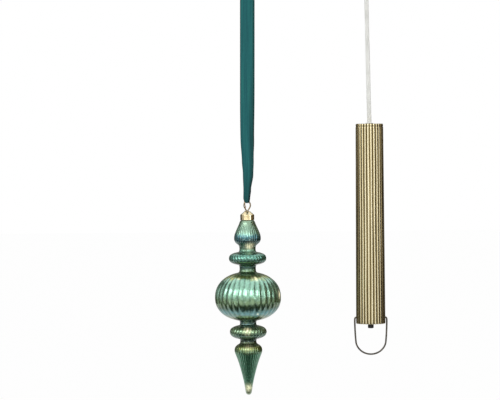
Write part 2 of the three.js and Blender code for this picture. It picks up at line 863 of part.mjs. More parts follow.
// The liner is a trough round the cells, open along its front, with a groove for the strip behind
function makeLiner() {
  const inner = linerRadius - linerWall;
  const half = Math.asin(linerSlotWidth / 2 / linerRadius);
  const from = -Math.PI / 2 + half;
  const to = Math.PI * 1.5 - half;
  const shape = new THREE.Shape();
  shape.absarc(0, 0, linerRadius, from, to, false);
  shape.absarc(0, 0, inner, to, from, true);
  const linerTop = insulatorBottom - gap;
  const linerBottom = cellsBottom + 2;
  const settings = { depth: linerTop - linerBottom, bevelEnabled: false, curveSegments: 24 };
  const trough = solid(new THREE.ExtrudeGeometry(shape, settings).translate(0, 0, linerBottom));
  const groove = stripSlot(linerTop, 3 * (linerTop - linerBottom));
  add(tube, "cell_liner", "white", geometryOf(trough.subtract(groove)));
  return linerBottom;
}

// The strip runs down the liner's groove and in to the ring on the circuit board
function makeStrip(linerBottom) {
  const t = stripThickness;
  const footZ = plateTop + gap;
  const lowerInner = ringOuter - 2 * t;
  const toe = ringInner + t;
  const shape = new THREE.Shape(
    [
      [stripFootReach, stripFootTop - t],
      [stripInner, stripFootTop - t],
      [stripInner, linerBottom - 1],
      [lowerInner, linerBottom - 4],
      [lowerInner, footZ + t],
      [toe, footZ + t],
      [toe, footZ],
      [lowerInner + t, footZ],
      [lowerInner + t, linerBottom - 4],
      [stripOuter, linerBottom - 1],
      [stripOuter, stripFootTop],
      [stripFootReach, stripFootTop],
    ].map(([y, z]) => new THREE.Vector2(y, z)),
  );
  const strip = new THREE.ExtrudeGeometry(shape, { depth: stripWidth, bevelEnabled: false });
  // The outline is drawn in Y and Z, so its depth is turned to lie along X
  strip.rotateX(Math.PI / 2).rotateZ(Math.PI / 2).translate(-stripWidth / 2, 0, 0);
  add(tube, "return_strip", "brass", strip);
}

class Coil extends THREE.Curve {
  getPoint(t, target = new THREE.Vector3()) {
    const a = 2 * Math.PI * springTurns * t;
    const r = springRadiusBottom + (springRadiusTop - springRadiusBottom) * t;
    const lowest = springBottom + springWire / 2;
    const highest = springTop - springWire / 2;
    return target.set(r * Math.cos(a), r * Math.sin(a), lowest + (highest - lowest) * t);
  }
}

function makeTail() {
  add(tube, "tail_spring", "steel", swept(new Coil(), springWire, springWire, 5, springTurns * 9));
  const plateRadius = springRadiusBottom + springPlateRim;
  add(tube, "spring_plate", "steel", rodZ(plateRadius, plateBottom, plateTop, 24));
  const ring = [
    [ringInner, plateBottom],
    [ringOuter, plateBottom],
    [ringOuter, plateTop],
    [ringInner, plateTop],
  ];
  add(tube, "contact_ring", "brass", turnedRing(ring, 28));
  add(tube, "circuit_board", "board", rodZ(boardRadius, boardBottom, boardTop, 28));
  // Small components round the switch, on the board's underside
  const clear = switchSize / 2 + componentGap;
  const chipAt = [clear + chipWidth / 2, 0, switchTop - chipHeight / 2];
  add(tube, "timer_chip", "black", box(chipWidth, chipLength, chipHeight, ...chipAt));
  const can = new THREE.CylinderGeometry(crystalRadius, crystalRadius, crystalLength, 10);
  can.rotateZ(Math.PI / 2).translate(0, clear + crystalRadius, switchTop - crystalRadius);
  add(tube, "timer_crystal", "steel", can);
  const resistorAt = [0, -clear - resistorWidth / 2, switchTop - resistorHeight / 2];
  add(tube, "resistor", "white", box(resistorLength, resistorWidth, resistorHeight, ...resistorAt));
  const shaftHole = rodZ(plungerRadius + gap, switchBottom - 1, switchTop - switchWall, 14);
  const housing = solid(box(switchSize, switchSize, switchHeight, 0, 0, switchTop - switchHeight / 2));
  add(tube, "switch_body", "black", geometryOf(housing.subtract(solid(shaftHole))));
  const plungerBottom = buttonTop + gap;
  const plungerTop = plungerBottom + plungerLength;
  add(tube, "switch_plunger", "white", rodZ(plungerRadius, plungerBottom, plungerTop, 14));
  const buttonBottom = sleeveBottom - buttonProud;
  const rounding = [0, 45, 90].map((degrees) => {
    const a = radians(degrees);
    return [
      buttonRadius - buttonRound * (1 - Math.sin(a)),
      buttonBottom + buttonRound * (1 - Math.cos(a)),
    ];
  });
  const button = [
    [0, buttonBottom],
    ...rounding,
    [buttonRadius, buttonTop - buttonFlangeHeight],
    [buttonRadius + buttonFlange, buttonTop - buttonFlangeHeight],
    [buttonRadius + buttonFlange, buttonTop],
    [0, buttonTop],
  ];
  add(tube, "push_button", "black", turned(button, 20));
  const cup = boardRadius + gap;
  const ledge = boardRadius - boardLedge;
  const shaft = buttonRadius + gap;
  const plug = [
    [shaft, plugBottom],
    [plugRadius - plugBevel, plugBottom],
    [plugRadius, plugBottom + plugBevel],
    [plugRadius, plugTop],
    [cup, plugTop],
    [cup, switchTop],
    [ledge, switchTop],
    [ledge, plugFloorTop],
    [shaft, plugFloorTop],
  ];
  const slot = solid(box(coinSlotLength, coinSlotWidth, 2 * coinSlotDepth, 0, 0, plugBottom));
  add(tube, "tail_plug", "black", geometryOf(solid(turnedRing(plug, 32)).subtract(slot)));
}

function makeBail() {
  const wire = bailWire / 2;
  const crest = crestAt(pivotZ);
  const legX = crest + bailSideGap + wire;
  const inside = crest - earDepth + gap;
  const archTop = pivotZ - bailLength + bailArchHeight;
  const arch = [75, 60, 45, 30, 15].map((degrees) => {
    const a = radians(degrees);
    return [bailArchRadius * Math.sin(a), 0, archTop - bailArchHeight * Math.cos(a)];
  });
  const right = [
    [inside, 0, pivotZ],
    [legX - bailBend, 0, pivotZ],
    [legX - bailBend * 0.27, 0, pivotZ - bailBend * 0.27],
    [legX, 0, pivotZ - bailBend],
    [legX, 0, pivotZ - bailStraight],
    [bailArchRadius + 0.1, 0, archTop + 1],
    ...arch,
  ];
  const left = [...right].reverse().map(([x, y, z]) => [-x, y, z]);
  const route = smooth([...right, [0, 0, archTop - bailArchHeight], ...left]);
  add(tube, "bail", "steel", swept(route, bailWire, bailWire, 6, 54));
}

makeRibbon();
makeHanger();
makeCap();
makeGlass();
makeLights();
makeLead();
makeCollar();
makeSplice();
makePigtail();
makeSleeve();
makeWires();
makeCells();
makeStrip(makeLiner());
makeTail();
makeBail();

export default part;
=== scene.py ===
# %% [markdown]
# Lit glass finial on a ribbon, with its battery tube
#
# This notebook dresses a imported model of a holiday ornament. A blown-glass finial hangs by a
# wire loop on a doubled ribbon, small lights shine through its coloured mirror coat, and a clear
# lead runs from it to a fluted brass-look tube that holds the cells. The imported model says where
# each piece is and how it moves. Everything made here sits in that same frame, in metres.

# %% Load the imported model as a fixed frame
import math
import bmesh
import bpy
from mathutils import Matrix, Vector, noise


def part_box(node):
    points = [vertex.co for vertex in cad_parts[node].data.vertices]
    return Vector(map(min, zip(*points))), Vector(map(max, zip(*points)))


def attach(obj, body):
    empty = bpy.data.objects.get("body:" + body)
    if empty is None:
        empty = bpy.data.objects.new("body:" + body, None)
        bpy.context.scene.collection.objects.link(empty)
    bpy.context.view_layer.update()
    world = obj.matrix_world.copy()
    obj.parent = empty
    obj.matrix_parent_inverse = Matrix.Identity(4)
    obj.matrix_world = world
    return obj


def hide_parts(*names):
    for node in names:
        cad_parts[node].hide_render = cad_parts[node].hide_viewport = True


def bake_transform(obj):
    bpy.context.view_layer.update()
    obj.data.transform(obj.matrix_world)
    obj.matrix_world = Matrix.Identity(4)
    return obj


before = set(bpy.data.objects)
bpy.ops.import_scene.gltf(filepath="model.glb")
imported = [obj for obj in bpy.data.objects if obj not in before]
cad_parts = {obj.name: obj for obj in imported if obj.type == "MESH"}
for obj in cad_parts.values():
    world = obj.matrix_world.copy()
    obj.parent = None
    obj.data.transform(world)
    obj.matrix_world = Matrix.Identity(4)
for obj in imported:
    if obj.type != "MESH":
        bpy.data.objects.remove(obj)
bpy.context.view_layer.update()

# %% [markdown]
# Shared values come first. The object was measured in millimetres, so sizes are written in
# millimetres and multiplied by MM. The axes of the two hanging pieces, and the heights where
# they join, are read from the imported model, so the looks follow the construction.

# %% Places read from the frame
MM = 0.001
TURN = 2 * math.pi

def middle_x(node_name):
    low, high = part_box(node_name)
    return (low.x + high.x) / 2

ORNAMENT_X = middle_x("ornament_cap")
TUBE_X = middle_x("fluted_sleeve")
CAP_LOW, CAP_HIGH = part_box("ornament_cap")
SLEEVE_LOW, SLEEVE_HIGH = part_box("fluted_sleeve")
CLEARANCE = 0.3 * MM
SHOULDER_RISE = 1.5 * MM
GLASS_TOP = CAP_LOW.z - CLEARANCE - SHOULDER_RISE
WIRE_TOP = -241 * MM
print("ornament axis", round(ORNAMENT_X, 4), "tube axis", round(TUBE_X, 4))

# %% [markdown]
# Five small helpers build every material. Colours are written as the hex values that a colour
# picker shows, so one function turns them into the linear values that a renderer adds up. One
# adds a node, sets it and links it, where a node given for an input is linked by its first
# output. One turns the real size of a pattern's patches into the scale that Blender asks for.
# The last two start an empty material and close it.

# %% Material helpers
def linear(hex_colour):
    channels = [int(hex_colour[i : i + 2], 16) / 255 for i in (1, 3, 5)]
    return [c / 12.92 if c <= 0.04045 else ((c + 0.055) / 1.055) ** 2.4 for c in channels] + [1.0]

def add(tree, kind, inputs=None, stops=(), **settings):
    made = tree.nodes.new("ShaderNode" + kind)
    for name, value in settings.items():
        setattr(made, name, value)
    for name, value in (inputs or {}).items():
        socket = made.inputs[name]
        if isinstance(value, bpy.types.Node):
            value = value.outputs[0]
        if isinstance(value, bpy.types.NodeSocket):
            tree.links.new(value, socket)
        else:
            socket.default_value = linear(value) if isinstance(value, str) else value
    for i, (place, colour) in enumerate(stops):
        elements = made.color_ramp.elements
        element = elements[i] if i < 2 else elements.new(place)
        element.position = place
        element.color = linear(colour)
    return made

def patches(millimetres):
    return 1 / (millimetres * MM)

def start_material(name):
    material = bpy.data.materials.new(name)
    material.use_nodes = True
    material.node_tree.nodes.clear()
    return material, material.node_tree

def finish_material(material, shader):
    add(material.node_tree, "OutputMaterial", {"Surface": shader})
    print("material:", material.name, len(material.node_tree.nodes), "nodes")

# %% [markdown]
# Most pieces here are turned, drawn or bent, so a few shape helpers cover them. A smooth path
# runs through given stops. A turned form spins an outline round an upright axis, as a
# lathe does. A tube grows ring by ring along a path, and its section may be flat, and may twist.

# %% Paths and arcs
def smooth_path(stops, per_span=8):
    """A curve through the stops that doesn't overshoot where they are unevenly spaced"""
    stops = [Vector(s) for s in stops]
    ends = [2 * stops[0] - stops[1], *stops, 2 * stops[-1] - stops[-2]]
    path = []
    for a, b, c, d in zip(ends, ends[1:], ends[2:], ends[3:]):
        t0, t1 = 0, (b - a).length ** 0.5
        t2 = t1 + (c - b).length ** 0.5
        t3 = t2 + (d - c).length ** 0.5
        for k in range(per_span):
            t = t1 + (t2 - t1) * k / per_span
            a1 = a.lerp(b, t / t1)
            a2 = b.lerp(c, (t - t1) / (t2 - t1))
            a3 = c.lerp(d, (t - t2) / (t3 - t2))
            b1 = a1.lerp(a2, t / t2)
            b2 = a2.lerp(a3, (t - t1) / (t3 - t1))
            path.append(b1.lerp(b2, (t - t1) / (t2 - t1)))
    return [*path, stops[-1]]

def path_length(path):
    return sum((b - a).length for a, b in zip(path, path[1:]))

def arc(radius, degrees, x=0.0, z=0.0):
    """Points on a circle about (x, z), at these degrees from its right side"""
    return [(x + radius * math.cos(a), z + radius * math.sin(a)) for a in map(math.radians, degrees)]

def round_section(radius, sides):
    return arc(radius, [360 * k / sides for k in range(sides)])

def clamped(share):
    return min(max(share, 0), 1)

def between(stops, place):
    """A smooth value between (place, value) stops"""
    for (a, va), (b, vb) in zip(stops, stops[1:]):
        if place <= b:
            t = clamped((place - a) / (b - a))
            return va + (vb - va) * t * t * (3 - 2 * t)
    return stops[-1][1]

# %% Turned forms and tubes
def spin_round(bm, steps):
    """Spin the whole mesh once round the upright axis, close it and turn its faces outwards"""
    bmesh.ops.spin(
        bm, geom=bm.verts[:] + bm.edges[:], cent=(0, 0, 0), axis=(0, 0, 1), angle=TURN, steps=steps,
        use_merge=True,
    )
    bmesh.ops.remove_doubles(bm, verts=bm.verts, dist=1e-7)
    bmesh.ops.recalc_face_normals(bm, faces=bm.faces)

def turned(outline, steps, x=0.0, y=0.0):
    """An outline of (radius, height) points spun once round an upright axis"""
    bm = bmesh.new()
    verts = [bm.verts.new((r, 0, z)) for r, z in outline]
    for pair in zip(verts, verts[1:]):
        bm.edges.new(pair)
    spin_round(bm, steps)
    bmesh.ops.translate(bm, verts=bm.verts, vec=(x, y, 0))
    return bm

def tube_along(path, section, across=(1, 0, 0), twist=0.0):
    """A section of (across, up) points whose edge is extruded from place to place along a path.
    across is one direction, or one for each point, that the section's width follows."""
    directions = across if isinstance(across, list) else [across] * len(path)
    places, travelled = [], 0.0
    for i, here in enumerate(path):
        before, after = path[max(i - 1, 0)], path[min(i + 1, len(path) - 1)]
        travelled += (here - before).length if i else 0.0
        along = (after - before).normalized()
        side = Vector(directions[i])
        side = (side - side.dot(along) * along).normalized()
        side = Matrix.Rotation(twist * travelled, 3, along) @ side
        turned_to = Matrix((side, along.cross(side), along)).transposed()
        places.append(Matrix.LocRotScale(here, turned_to, None))
    bm = bmesh.new()
    near_end = bm.faces.new([bm.verts.new(places[0] @ Vector((a, b, 0))) for a, b in section])
    rim = list(near_end.edges)
    for last, this in zip(places, places[1:]):
        grown = bmesh.ops.extrude_edge_only(bm, edges=rim)["geom"]
        verts = [g for g in grown if isinstance(g, bmesh.types.BMVert)]
        bmesh.ops.transform(bm, matrix=this @ last.inverted(), verts=verts)
        rim = [g for g in grown if isinstance(g, bmesh.types.BMEdge) and g.is_boundary]
    bmesh.ops.edgeloop_fill(bm, edges=rim)
    bmesh.ops.recalc_face_normals(bm, faces=bm.faces)
    return bm

# %% Objects and what they stand for
def make_object(name, bm, material, sharp_degrees=35):
    mesh = bpy.data.meshes.new(name)
    bm.to_mesh(mesh)
    bm.free()
    mesh.shade_smooth()
    mesh.set_sharp_from_angle(angle=math.radians(sharp_degrees))
    mesh.materials.append(material)
    made = bpy.data.objects.new(name, mesh)
    bpy.context.scene.collection.objects.link(made)
    return made

def fit(made, body, slot, *nodes):
    """The piece rides on its body and stands for its nodes; the slot argument is not used"""
    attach(made, body)
    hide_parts(*nodes)
    print("piece:", made.name, len(made.data.polygons), "faces, on", body)

# %% [markdown]
# The camera stands where the photograph was taken: about two metres in front, slightly above
# the finial's middle and looking a little down, with a long lens. It was held half a degree off
# level, so that plumb lines lean a little in the picture.

# %% Camera
CAMERA_AT = Vector((0.4, -2057, -183)) * MM
PITCH_DOWN = math.radians(1.58)
ROLL = math.radians(-0.5)

lens = bpy.data.cameras.new("photo_lens")
lens.sensor_width = 36
lens.lens = 164.6
lens.clip_end = 50
camera = bpy.data.objects.new("photo_camera", lens)
turn = Matrix.Rotation(math.radians(90) - PITCH_DOWN, 4, "X") @ Matrix.Rotation(ROLL, 4, "Z")
camera.matrix_world = Matrix.Translation(CAMERA_AT) @ turn
bpy.context.scene.collection.objects.link(camera)
bpy.context.scene.camera = camera
print("camera looks from", tuple(round(v, 3) for v in camera.location))

# %% [markdown]
# The lead is clear PVC drawn over two fine strands: two round lobes with a web between them.
# Clear PVC over a white backdrop looks pale grey, lighter along the middle of each lobe and
# greyer at the edges. A thin, slightly milky plastic gives that without heavy refraction.

# %% Clear PVC
clear_pvc, tree = start_material("clear flexible PVC")
place = add(tree, "TexCoord").outputs["Object"]
cloud = add(tree, "TexNoise", {"Vector": place, "Scale": patches(11.11), "Detail": 3})
tint = add(tree, "ValToRGB", {"Fac": cloud}, stops=[(0.3, "#dedfda"), (0.7, "#f0f0ec")])
ripple = add(tree, "TexNoise", {"Vector": place, "Scale": patches(2.5), "Detail": 2})
bump = add(tree, "Bump", {"Height": ripple, "Distance": 0.03 * MM, "Strength": 0.3})
skin = add(tree, "BsdfPrincipled", {
    "Base Color": tint, "Roughness": 0.28, "IOR": 1.53, "Transmission Weight": 0.25, "Normal": bump,
    "Subsurface Weight": 0.3, "Subsurface Radius": (0.002, 0.002, 0.002), "Subsurface Scale": 0.5,
})
finish_material(clear_pvc, skin)

# %% [markdown]
# The cords hang free, so each is given its route, its real length and its section. The lead
# leaves the tube's top, closes its own small hanging loop above the picture, sags across to the
# ribbon and goes down between the ribbon's layers to a splice. Its route is in millimetres.

# %% The lead's route
LEAD_WIDTH, LEAD_THICKNESS = 3.8 * MM, 2.2 * MM
LEAD_LEAN = 2.1
lead_exit = (TUBE_X, 0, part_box("lead_grommet")[1].z + CLEARANCE)
tube_x = TUBE_X / MM
loop_x = tube_x - LEAD_LEAN
leg = 1.35
lead_stops = [
    (tube_x, 0, lead_exit[2] / MM), (tube_x - 0.05, 0, -165.6), (tube_x - 0.4, 0, -148),
    (tube_x - 0.85, 0, -120), (tube_x - 1.35, -0.2, -90), (tube_x - 1.8, -0.7, -62),
    (tube_x - 2, -leg, -46), (loop_x, -leg, -40), (loop_x, -leg, -33), (loop_x, -4.4, -23),
    (loop_x, -7.2, -14), (loop_x, -6.6, -7), (loop_x, -3.6, -3), (loop_x, 0, -1.6),
    (loop_x, 3.6, -3), (loop_x, 6.6, -7), (loop_x, 7.2, -14), (loop_x, 4.4, -23),
    (loop_x, leg, -33), (loop_x, leg, -40), (tube_x - 4.6, leg, -47.4), (tube_x - 11, 1.5, -51.6),
    (tube_x - 24, 1.8, -53), (tube_x - 44, 2, -53), (tube_x - 64, 1.6, -51.6), (tube_x - 81, 1, -49),
    (tube_x - 94, 0.4, -46.4), (6, 0, -46.4), (1.6, 0, -49), (-0.5, 0, -55), (-0.6, 0, -64),
]
lead_path = smooth_path([Vector(s) * MM for s in lead_stops], per_span=10)
print("lead length, mm:", round(path_length(lead_path) / MM, 1))

# %% [markdown]
# A flat lead lies with its edge up where it sags, and is flat to the front where it hangs. So
# each point of the route says which way the width goes. Near the middle of the stretch that
# shows, the lead also turns a little on itself, as it does in the photograph.

# %% The lead's mesh
SAG_ABOVE, TURN_OVER = -60 * MM, 8 * MM
SLIP_FROM, SLIP_IN = 4 * MM, 6 * MM
TWIST_DEGREES, TWIST_HEIGHT, TWIST_REACH = 24, -88, 16

def lead_width_direction(here):
    """Flat to the front where it hangs, edge up along the sag, flat again between the layers"""
    sag = clamped((loop_x * MM - here.x) / TURN_OVER) if here.z > SAG_ABOVE else 0
    into_ribbon = clamped((SLIP_FROM - here.x) / SLIP_IN)
    nearness = math.exp(-(((here.z / MM - TWIST_HEIGHT) / TWIST_REACH) ** 2))
    angle = math.radians(90) * (sag * (1 - into_ribbon)) + math.radians(TWIST_DEGREES) * nearness
    return (math.cos(angle), math.sin(angle), 0)

def lobed_section(width, thickness, sides=24, waist=0.72):
    """Two round lobes with a shallow waist between them"""
    points = []
    for k in range(sides):
        a = TURN * k / sides
        lift = waist + (1 - waist) * abs(math.cos(a)) ** 0.8 if abs(math.cos(a)) < 0.5 else 1
        points.append((width / 2 * math.cos(a), thickness / 2 * math.sin(a) * lift))
    return points

lead_section = lobed_section(LEAD_WIDTH, LEAD_THICKNESS)
bm = tube_along(lead_path, lead_section, [lead_width_direction(p) for p in lead_path])
lead = make_object("lead", bm, clear_pvc, 60)
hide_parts("clear_lead")
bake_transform(lead)
print("piece: lead", len(lead.data.polygons), "faces")

# %% [markdown]
# From the splice a much finer pair goes on: two lacquered copper wires twisted together. It
# goes down between the ribbon's layers, shows beside the wire loop, passes behind the loop and
# enters the cap. A twisted section, two lobes turning as they go, shows the pair.

# %% Lacquered copper
copper, tree = start_material("lacquered copper pair")
place = add(tree, "TexCoord").outputs["Object"]
streak = add(tree, "TexNoise", {"Vector": place, "Scale": patches(1.4286), "Detail": 2})
tint = add(tree, "ValToRGB", {"Fac": streak}, stops=[(0.3, "#c9a58e"), (0.75, "#ecd0bb")])
skin = add(tree, "BsdfPrincipled", {
    "Base Color": tint, "Metallic": 0.55, "Roughness": 0.3, "Coat Weight": 0.6, "Coat Roughness": 0.1,
})
finish_material(copper, skin)

# %% The fine pair from splice to cap
PAIR_WIDTH, TWIST_PITCH = 0.9 * MM, 3.5 * MM
splice_low, splice_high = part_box("splice_sleeve")
bush_low, bush_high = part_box("cap_bush")
bush_x, bush_y = (bush_low.x + bush_high.x) / 2 / MM, (bush_low.y + bush_high.y) / 2 / MM
bush_z, wire_z, splice_z = bush_high.z / MM, WIRE_TOP / MM, splice_low.z / MM
pair_stops = [
    (-0.6, 0, splice_z - 0.3), (-0.8, 0, splice_z - 8), (-1.1, 0, -120), (-1.6, 0, -160),
    (-2, 0, -195), (-3.1, 0, wire_z + 26), (-4.3, 0, wire_z + 13), (-4.9, 0, wire_z + 6),
    (-4.9, 0.7, wire_z + 1.2), (-4.2, 1.6, wire_z - 2.4), (-3.6, 2.2, wire_z - 5),
    (bush_x, bush_y, bush_z + 2), (bush_x, bush_y, bush_z + 0.3),
]
pair_path = smooth_path([Vector(s) * MM for s in pair_stops], per_span=26)
one_wire = arc(PAIR_WIDTH / 4, range(-120, 121, 30), PAIR_WIDTH / 4)
pair_section = one_wire + [(-x, -y) for x, y in one_wire]
bm = tube_along(pair_path, pair_section, (1, 0, 0), TURN / TWIST_PITCH)
pair = make_object("lead_pair", bm, copper, 60)
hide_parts("lead_pigtail")
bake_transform(pair)
print("pair length, mm:", round(path_length(pair_path) / MM, 1))

# %% [markdown]
# The ribbon is one long strip sewn into a loop. It is flat where it hangs wide, and it gathers
# as it comes down to the wire: its edges turn back until both layers are troughs, one inside
# the other. A grid of squares is bent into that shape row by row. Each row starts as the flat
# strip, and its edges turn by an angle that grows towards the wire.

# %% The ribbon's section at each height
RIBBON_HALF = 6 * MM
RIBBON_LEAN = 2.2 * MM
RIBBON_DROP = 242.4 * MM
ROWS_PER_SPAN, COLUMNS = 18, 36
# Stops of height above the wire in mm, with the value there in mm or degrees
half_width_at = [(0, 1.3), (1.2, 2.3), (4, 2.95), (11, 3.3), (26, 4.6), (38, 5.25), (56, 5.9), (84, 6)]
aside_at = [(0, 0), (4, -0.35), (11, 0.1), (26, 0.9), (38, 0.65), (70, 0.2), (110, 0.1)]
inner_narrower_at = [(0, 0.55), (40, 0.55), (110, 0)]
right_turn_at = [(0, 20), (3, 118), (24, 112), (44, 75), (66, 40), (88, 8), (120, 0)]
left_turn_at = [(0, 15), (3, 84), (20, 76), (40, 38), (60, 14), (80, 4), (110, 0)]
apart_at = [(0, 0), (30, 0.1), (60, 0.45), (90, 0.55), (180, 0.55), (220, 0)]
# The share of the half width that stays flat, and the share past which the edge has turned
FLAT_TO, TURNED_FROM = 0.42, 0.84
INNER_TURN = 0.9

def ribbon_row(height, inner):
    """Across and depth of each column: the middle stays flat and the edges turn back"""
    half = between(half_width_at, height) - (between(inner_narrower_at, height) if inner else 0)
    step = RIBBON_HALF / (COLUMNS / 2)
    columns = [(0.0, 0.0)]
    for way, turns in ((1, right_turn_at), (-1, left_turn_at)):
        most = math.radians(between(turns, height)) * (INNER_TURN if inner else 1)
        x, depth, side = 0.0, 0.0, []
        for k in range(COLUMNS // 2):
            angle = between([(FLAT_TO, 0), (TURNED_FROM, most)], (k + 0.5) / (COLUMNS / 2))
            x += step * math.cos(angle)
            depth += step * math.sin(angle)
            side.append((way * x, depth))
        widest = max(abs(a) for a, _ in side)
        side = [(a * half * MM / widest, d) for a, d in side]
        columns = columns + side if way == 1 else side[::-1] + columns
    return columns

# %% Bend a grid into the ribbon's loop
loop_stops = [
    (0, 0.25), (-3.0, -1.2), (-4.25, -4.4), (-3.9, -14), (-3.1, -34), (-1.95, -64), (-1.95, -88),
    (-1.6, -130), (-1.45, -160), (-1.35, -185), (-1.3, -205), (-1.27, -222), (-1.25, -234),
    (-1.25, -241.1), (-0.88, -242.0), (0, -242.4),
]
front_path = smooth_path([(0, y * MM, z * MM) for y, z in loop_stops], per_span=ROWS_PER_SPAN)
loop_path = front_path + [Vector((0, -p.y, p.z)) for p in front_path[-2::-1]]
bottom_row = len(front_path) - 1

bm = bmesh.new()
bmesh.ops.create_grid(bm, x_segments=COLUMNS, y_segments=len(loop_path) - 1, size=1)
cut = bm.verts.layers.float_vector.new("cut")
heights = [max(p.z + RIBBON_DROP, 0) for p in loop_path]
rows = [ribbon_row(h / MM, i > bottom_row) for i, h in enumerate(heights)]
for vert in bm.verts:
    row = round((vert.co.y + 1) / 2 * (len(loop_path) - 1))
    column = round((vert.co.x + 1) / 2 * COLUMNS)
    place, height, back = loop_path[row], heights[row], row > bottom_row
    across, depth = rows[row][column]
    shift = between(apart_at, height / MM) * MM * (1 if back else -1)
    gather = 0.3 * MM * math.exp(-height / (5 * MM)) * math.cos(across / RIBBON_HALF * 14)
    waver = 0.12 * MM * noise.noise(Vector((3, 9 if back else 0, place.z * 22)))
    aside = between(aside_at, height / MM) * MM
    middle = -RIBBON_LEAN * (1 - height / RIBBON_DROP) + aside + shift + waver
    vert[cut] = ((column / COLUMNS * 2 - 1) * RIBBON_HALF, place.z, 0.01 if back else 0)
    vert.co = (middle + across, place.y + depth + gather, place.z)
bmesh.ops.remove_doubles(bm, verts=bm.verts, dist=1e-6)
bmesh.ops.recalc_face_normals(bm, faces=bm.faces)
print("ribbon length when cut, mm:", round(path_length(loop_path) / MM))

# %% [markdown]
# The strip is woven polyester with a dull face. Its warp threads run along it and show as faint
# streaks, and a denser selvedge makes each edge a darker line. The pattern follows the strip's
# own cut coordinates, kept on its vertices, so it stays in place where the strip bends. The
# weft ribs are drawn 0.6 mm apart, coarser than the real ones, which would vanish here. Shade is
# painted into the colour where the strip gathers: it darkens towards the wire and, lower down, on its right
# side, where folds shade each other.

# %% Woven polyester
RIB_SPACING = 0.6 * MM
WAVES_PER_UNIT = 3.2
ribbon_weave, tree = start_material("woven polyester ribbon")
flat = add(tree, "Attribute", attribute_name="cut").outputs["Vector"]
across = add(tree, "SeparateXYZ", {"Vector": flat}).outputs["X"]
stretched = add(tree, "Mapping", {"Vector": flat, "Scale": (1.0, 0.02, 1.0)})
streaks = add(tree, "TexNoise", {"Vector": stretched, "Scale": patches(1.111), "Detail": 3})
warp = add(
    tree, "ValToRGB", {"Fac": streaks}, stops=[(0.32, "#124d51"), (0.5, "#185a5c"), (0.68, "#206562")]
)
from_middle = add(tree, "Math", {0: across}, operation="ABSOLUTE")
edge = add(tree, "MapRange", {
    "Value": from_middle, "From Min": RIBBON_HALF - 1.0 * MM, "From Max": RIBBON_HALF - 0.6 * MM,
})
selvedged = add(tree, "MixRGB", {"Fac": edge, "Color1": warp, "Color2": "#1a4b48"})
height = add(tree, "SeparateXYZ", {"Vector": add(tree, "TexCoord").outputs["Object"]}).outputs["Z"]
# Painted shade: the colour darkens towards the wire, where the gathered strip shades itself
gather_shade = add(tree, "MapRange", {
    "Value": height, "From Min": -RIBBON_DROP, "From Max": -205 * MM, "To Min": 0.62, "To Max": 1.06,
})
# Painted shade of the folds: lower down, the right side of the strip is painted darker
right_side = add(
    tree, "MapRange", {"Value": across, "From Min": 1.0 * MM, "From Max": 2.8 * MM, "To Max": 0.5},
    interpolation_type="SMOOTHSTEP",
)
lower = add(tree, "MapRange", {"Value": height, "From Min": -125 * MM, "From Max": -190 * MM})
fold_shade = add(tree, "Math", {0: right_side, 1: lower}, operation="MULTIPLY")
lit_share = add(tree, "Math", {0: gather_shade, 1: fold_shade}, operation="SUBTRACT")
shaded = add(
    tree, "MixRGB", {"Fac": 1.0, "Color1": selvedged, "Color2": lit_share}, blend_type="MULTIPLY"
)
ribs = add(
    tree, "TexWave",
    {"Vector": flat, "Scale": 1 / RIB_SPACING / WAVES_PER_UNIT, "Distortion": 0.4, "Detail": 1},
    bands_direction="Y",
)
relief = add(tree, "Math", {0: ribs.outputs["Fac"], 1: streaks}, operation="ADD")
bump = add(tree, "Bump", {"Height": relief, "Distance": 0.08 * MM, "Strength": 0.5})
skin = add(tree, "BsdfPrincipled", {
    "Base Color": shaded, "Roughness": 0.72, "Specular IOR Level": 0.2, "Normal": bump,
    "Sheen Weight": 0.05, "Sheen Roughness": 0.4,
})
finish_material(ribbon_weave, skin)

# %% The ribbon as a piece
ribbon = make_object("ribbon_strip", bm, ribbon_weave, 80)
thickness = ribbon.modifiers.new("thickness", "SOLIDIFY")
thickness.thickness = 0.3 * MM
thickness.offset = 0
fit(ribbon, "hanging_line", "ribbon_weave", "ribbon")

# %% [markdown]
# Between the ribbon's layers sits the splice, a soft clear barrel where the lead's strands meet
# the fine pair. Above, a short clear collar holds the lead's two legs together. Both are clear
# PVC mouldings, one round and one a rounded frame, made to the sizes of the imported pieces.

# %% Splice and collar
barrel_end = [(1, 0.55), (0.96, 0.72), (0.86, 0.88), (0.74, 0.97), (0.6, 1), (0, 1)]
bm = turned([(r, -h) for r, h in reversed(barrel_end)] + barrel_end, 40)
bmesh.ops.scale(bm, verts=bm.verts, vec=(splice_high - splice_low) / 2)
bmesh.ops.translate(bm, verts=bm.verts, vec=(splice_low + splice_high) / 2)
splice = make_object("splice_barrel", bm, clear_pvc)
fit(splice, "hanging_line", "clear_pvc", "splice_sleeve")

COLLAR_WALL, COLLAR_ROUND = 0.9 * MM, 0.8 * MM
collar_low, collar_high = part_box("lead_collar")
bm = bmesh.new()
bmesh.ops.create_cube(bm, size=2)
bmesh.ops.scale(bm, verts=bm.verts, vec=(collar_high - collar_low) / 2)
lids = [f for f in bm.faces if abs(f.normal.z) > 0.5]
bmesh.ops.inset_individual(bm, faces=lids, thickness=COLLAR_WALL)
bmesh.ops.bridge_loops(bm, edges=[e for f in lids for e in f.edges])
bmesh.ops.delete(bm, geom=lids, context="FACES_ONLY")
upright = [e for e in bm.edges if abs((e.verts[0].co - e.verts[1].co).normalized().z) > 0.9]
bmesh.ops.bevel(
    bm, geom=upright, offset=COLLAR_ROUND, affect="EDGES", segments=5, profile=0.5, material=-1,
    clamp_overlap=True,
)
bmesh.ops.translate(bm, verts=bm.verts, vec=(collar_low + collar_high) / 2)
bmesh.ops.recalc_face_normals(bm, faces=bm.faces)
collar = make_object("collar_frame", bm, clear_pvc)
fit(collar, "hanging_line", "clear_pvc", "lead_collar")
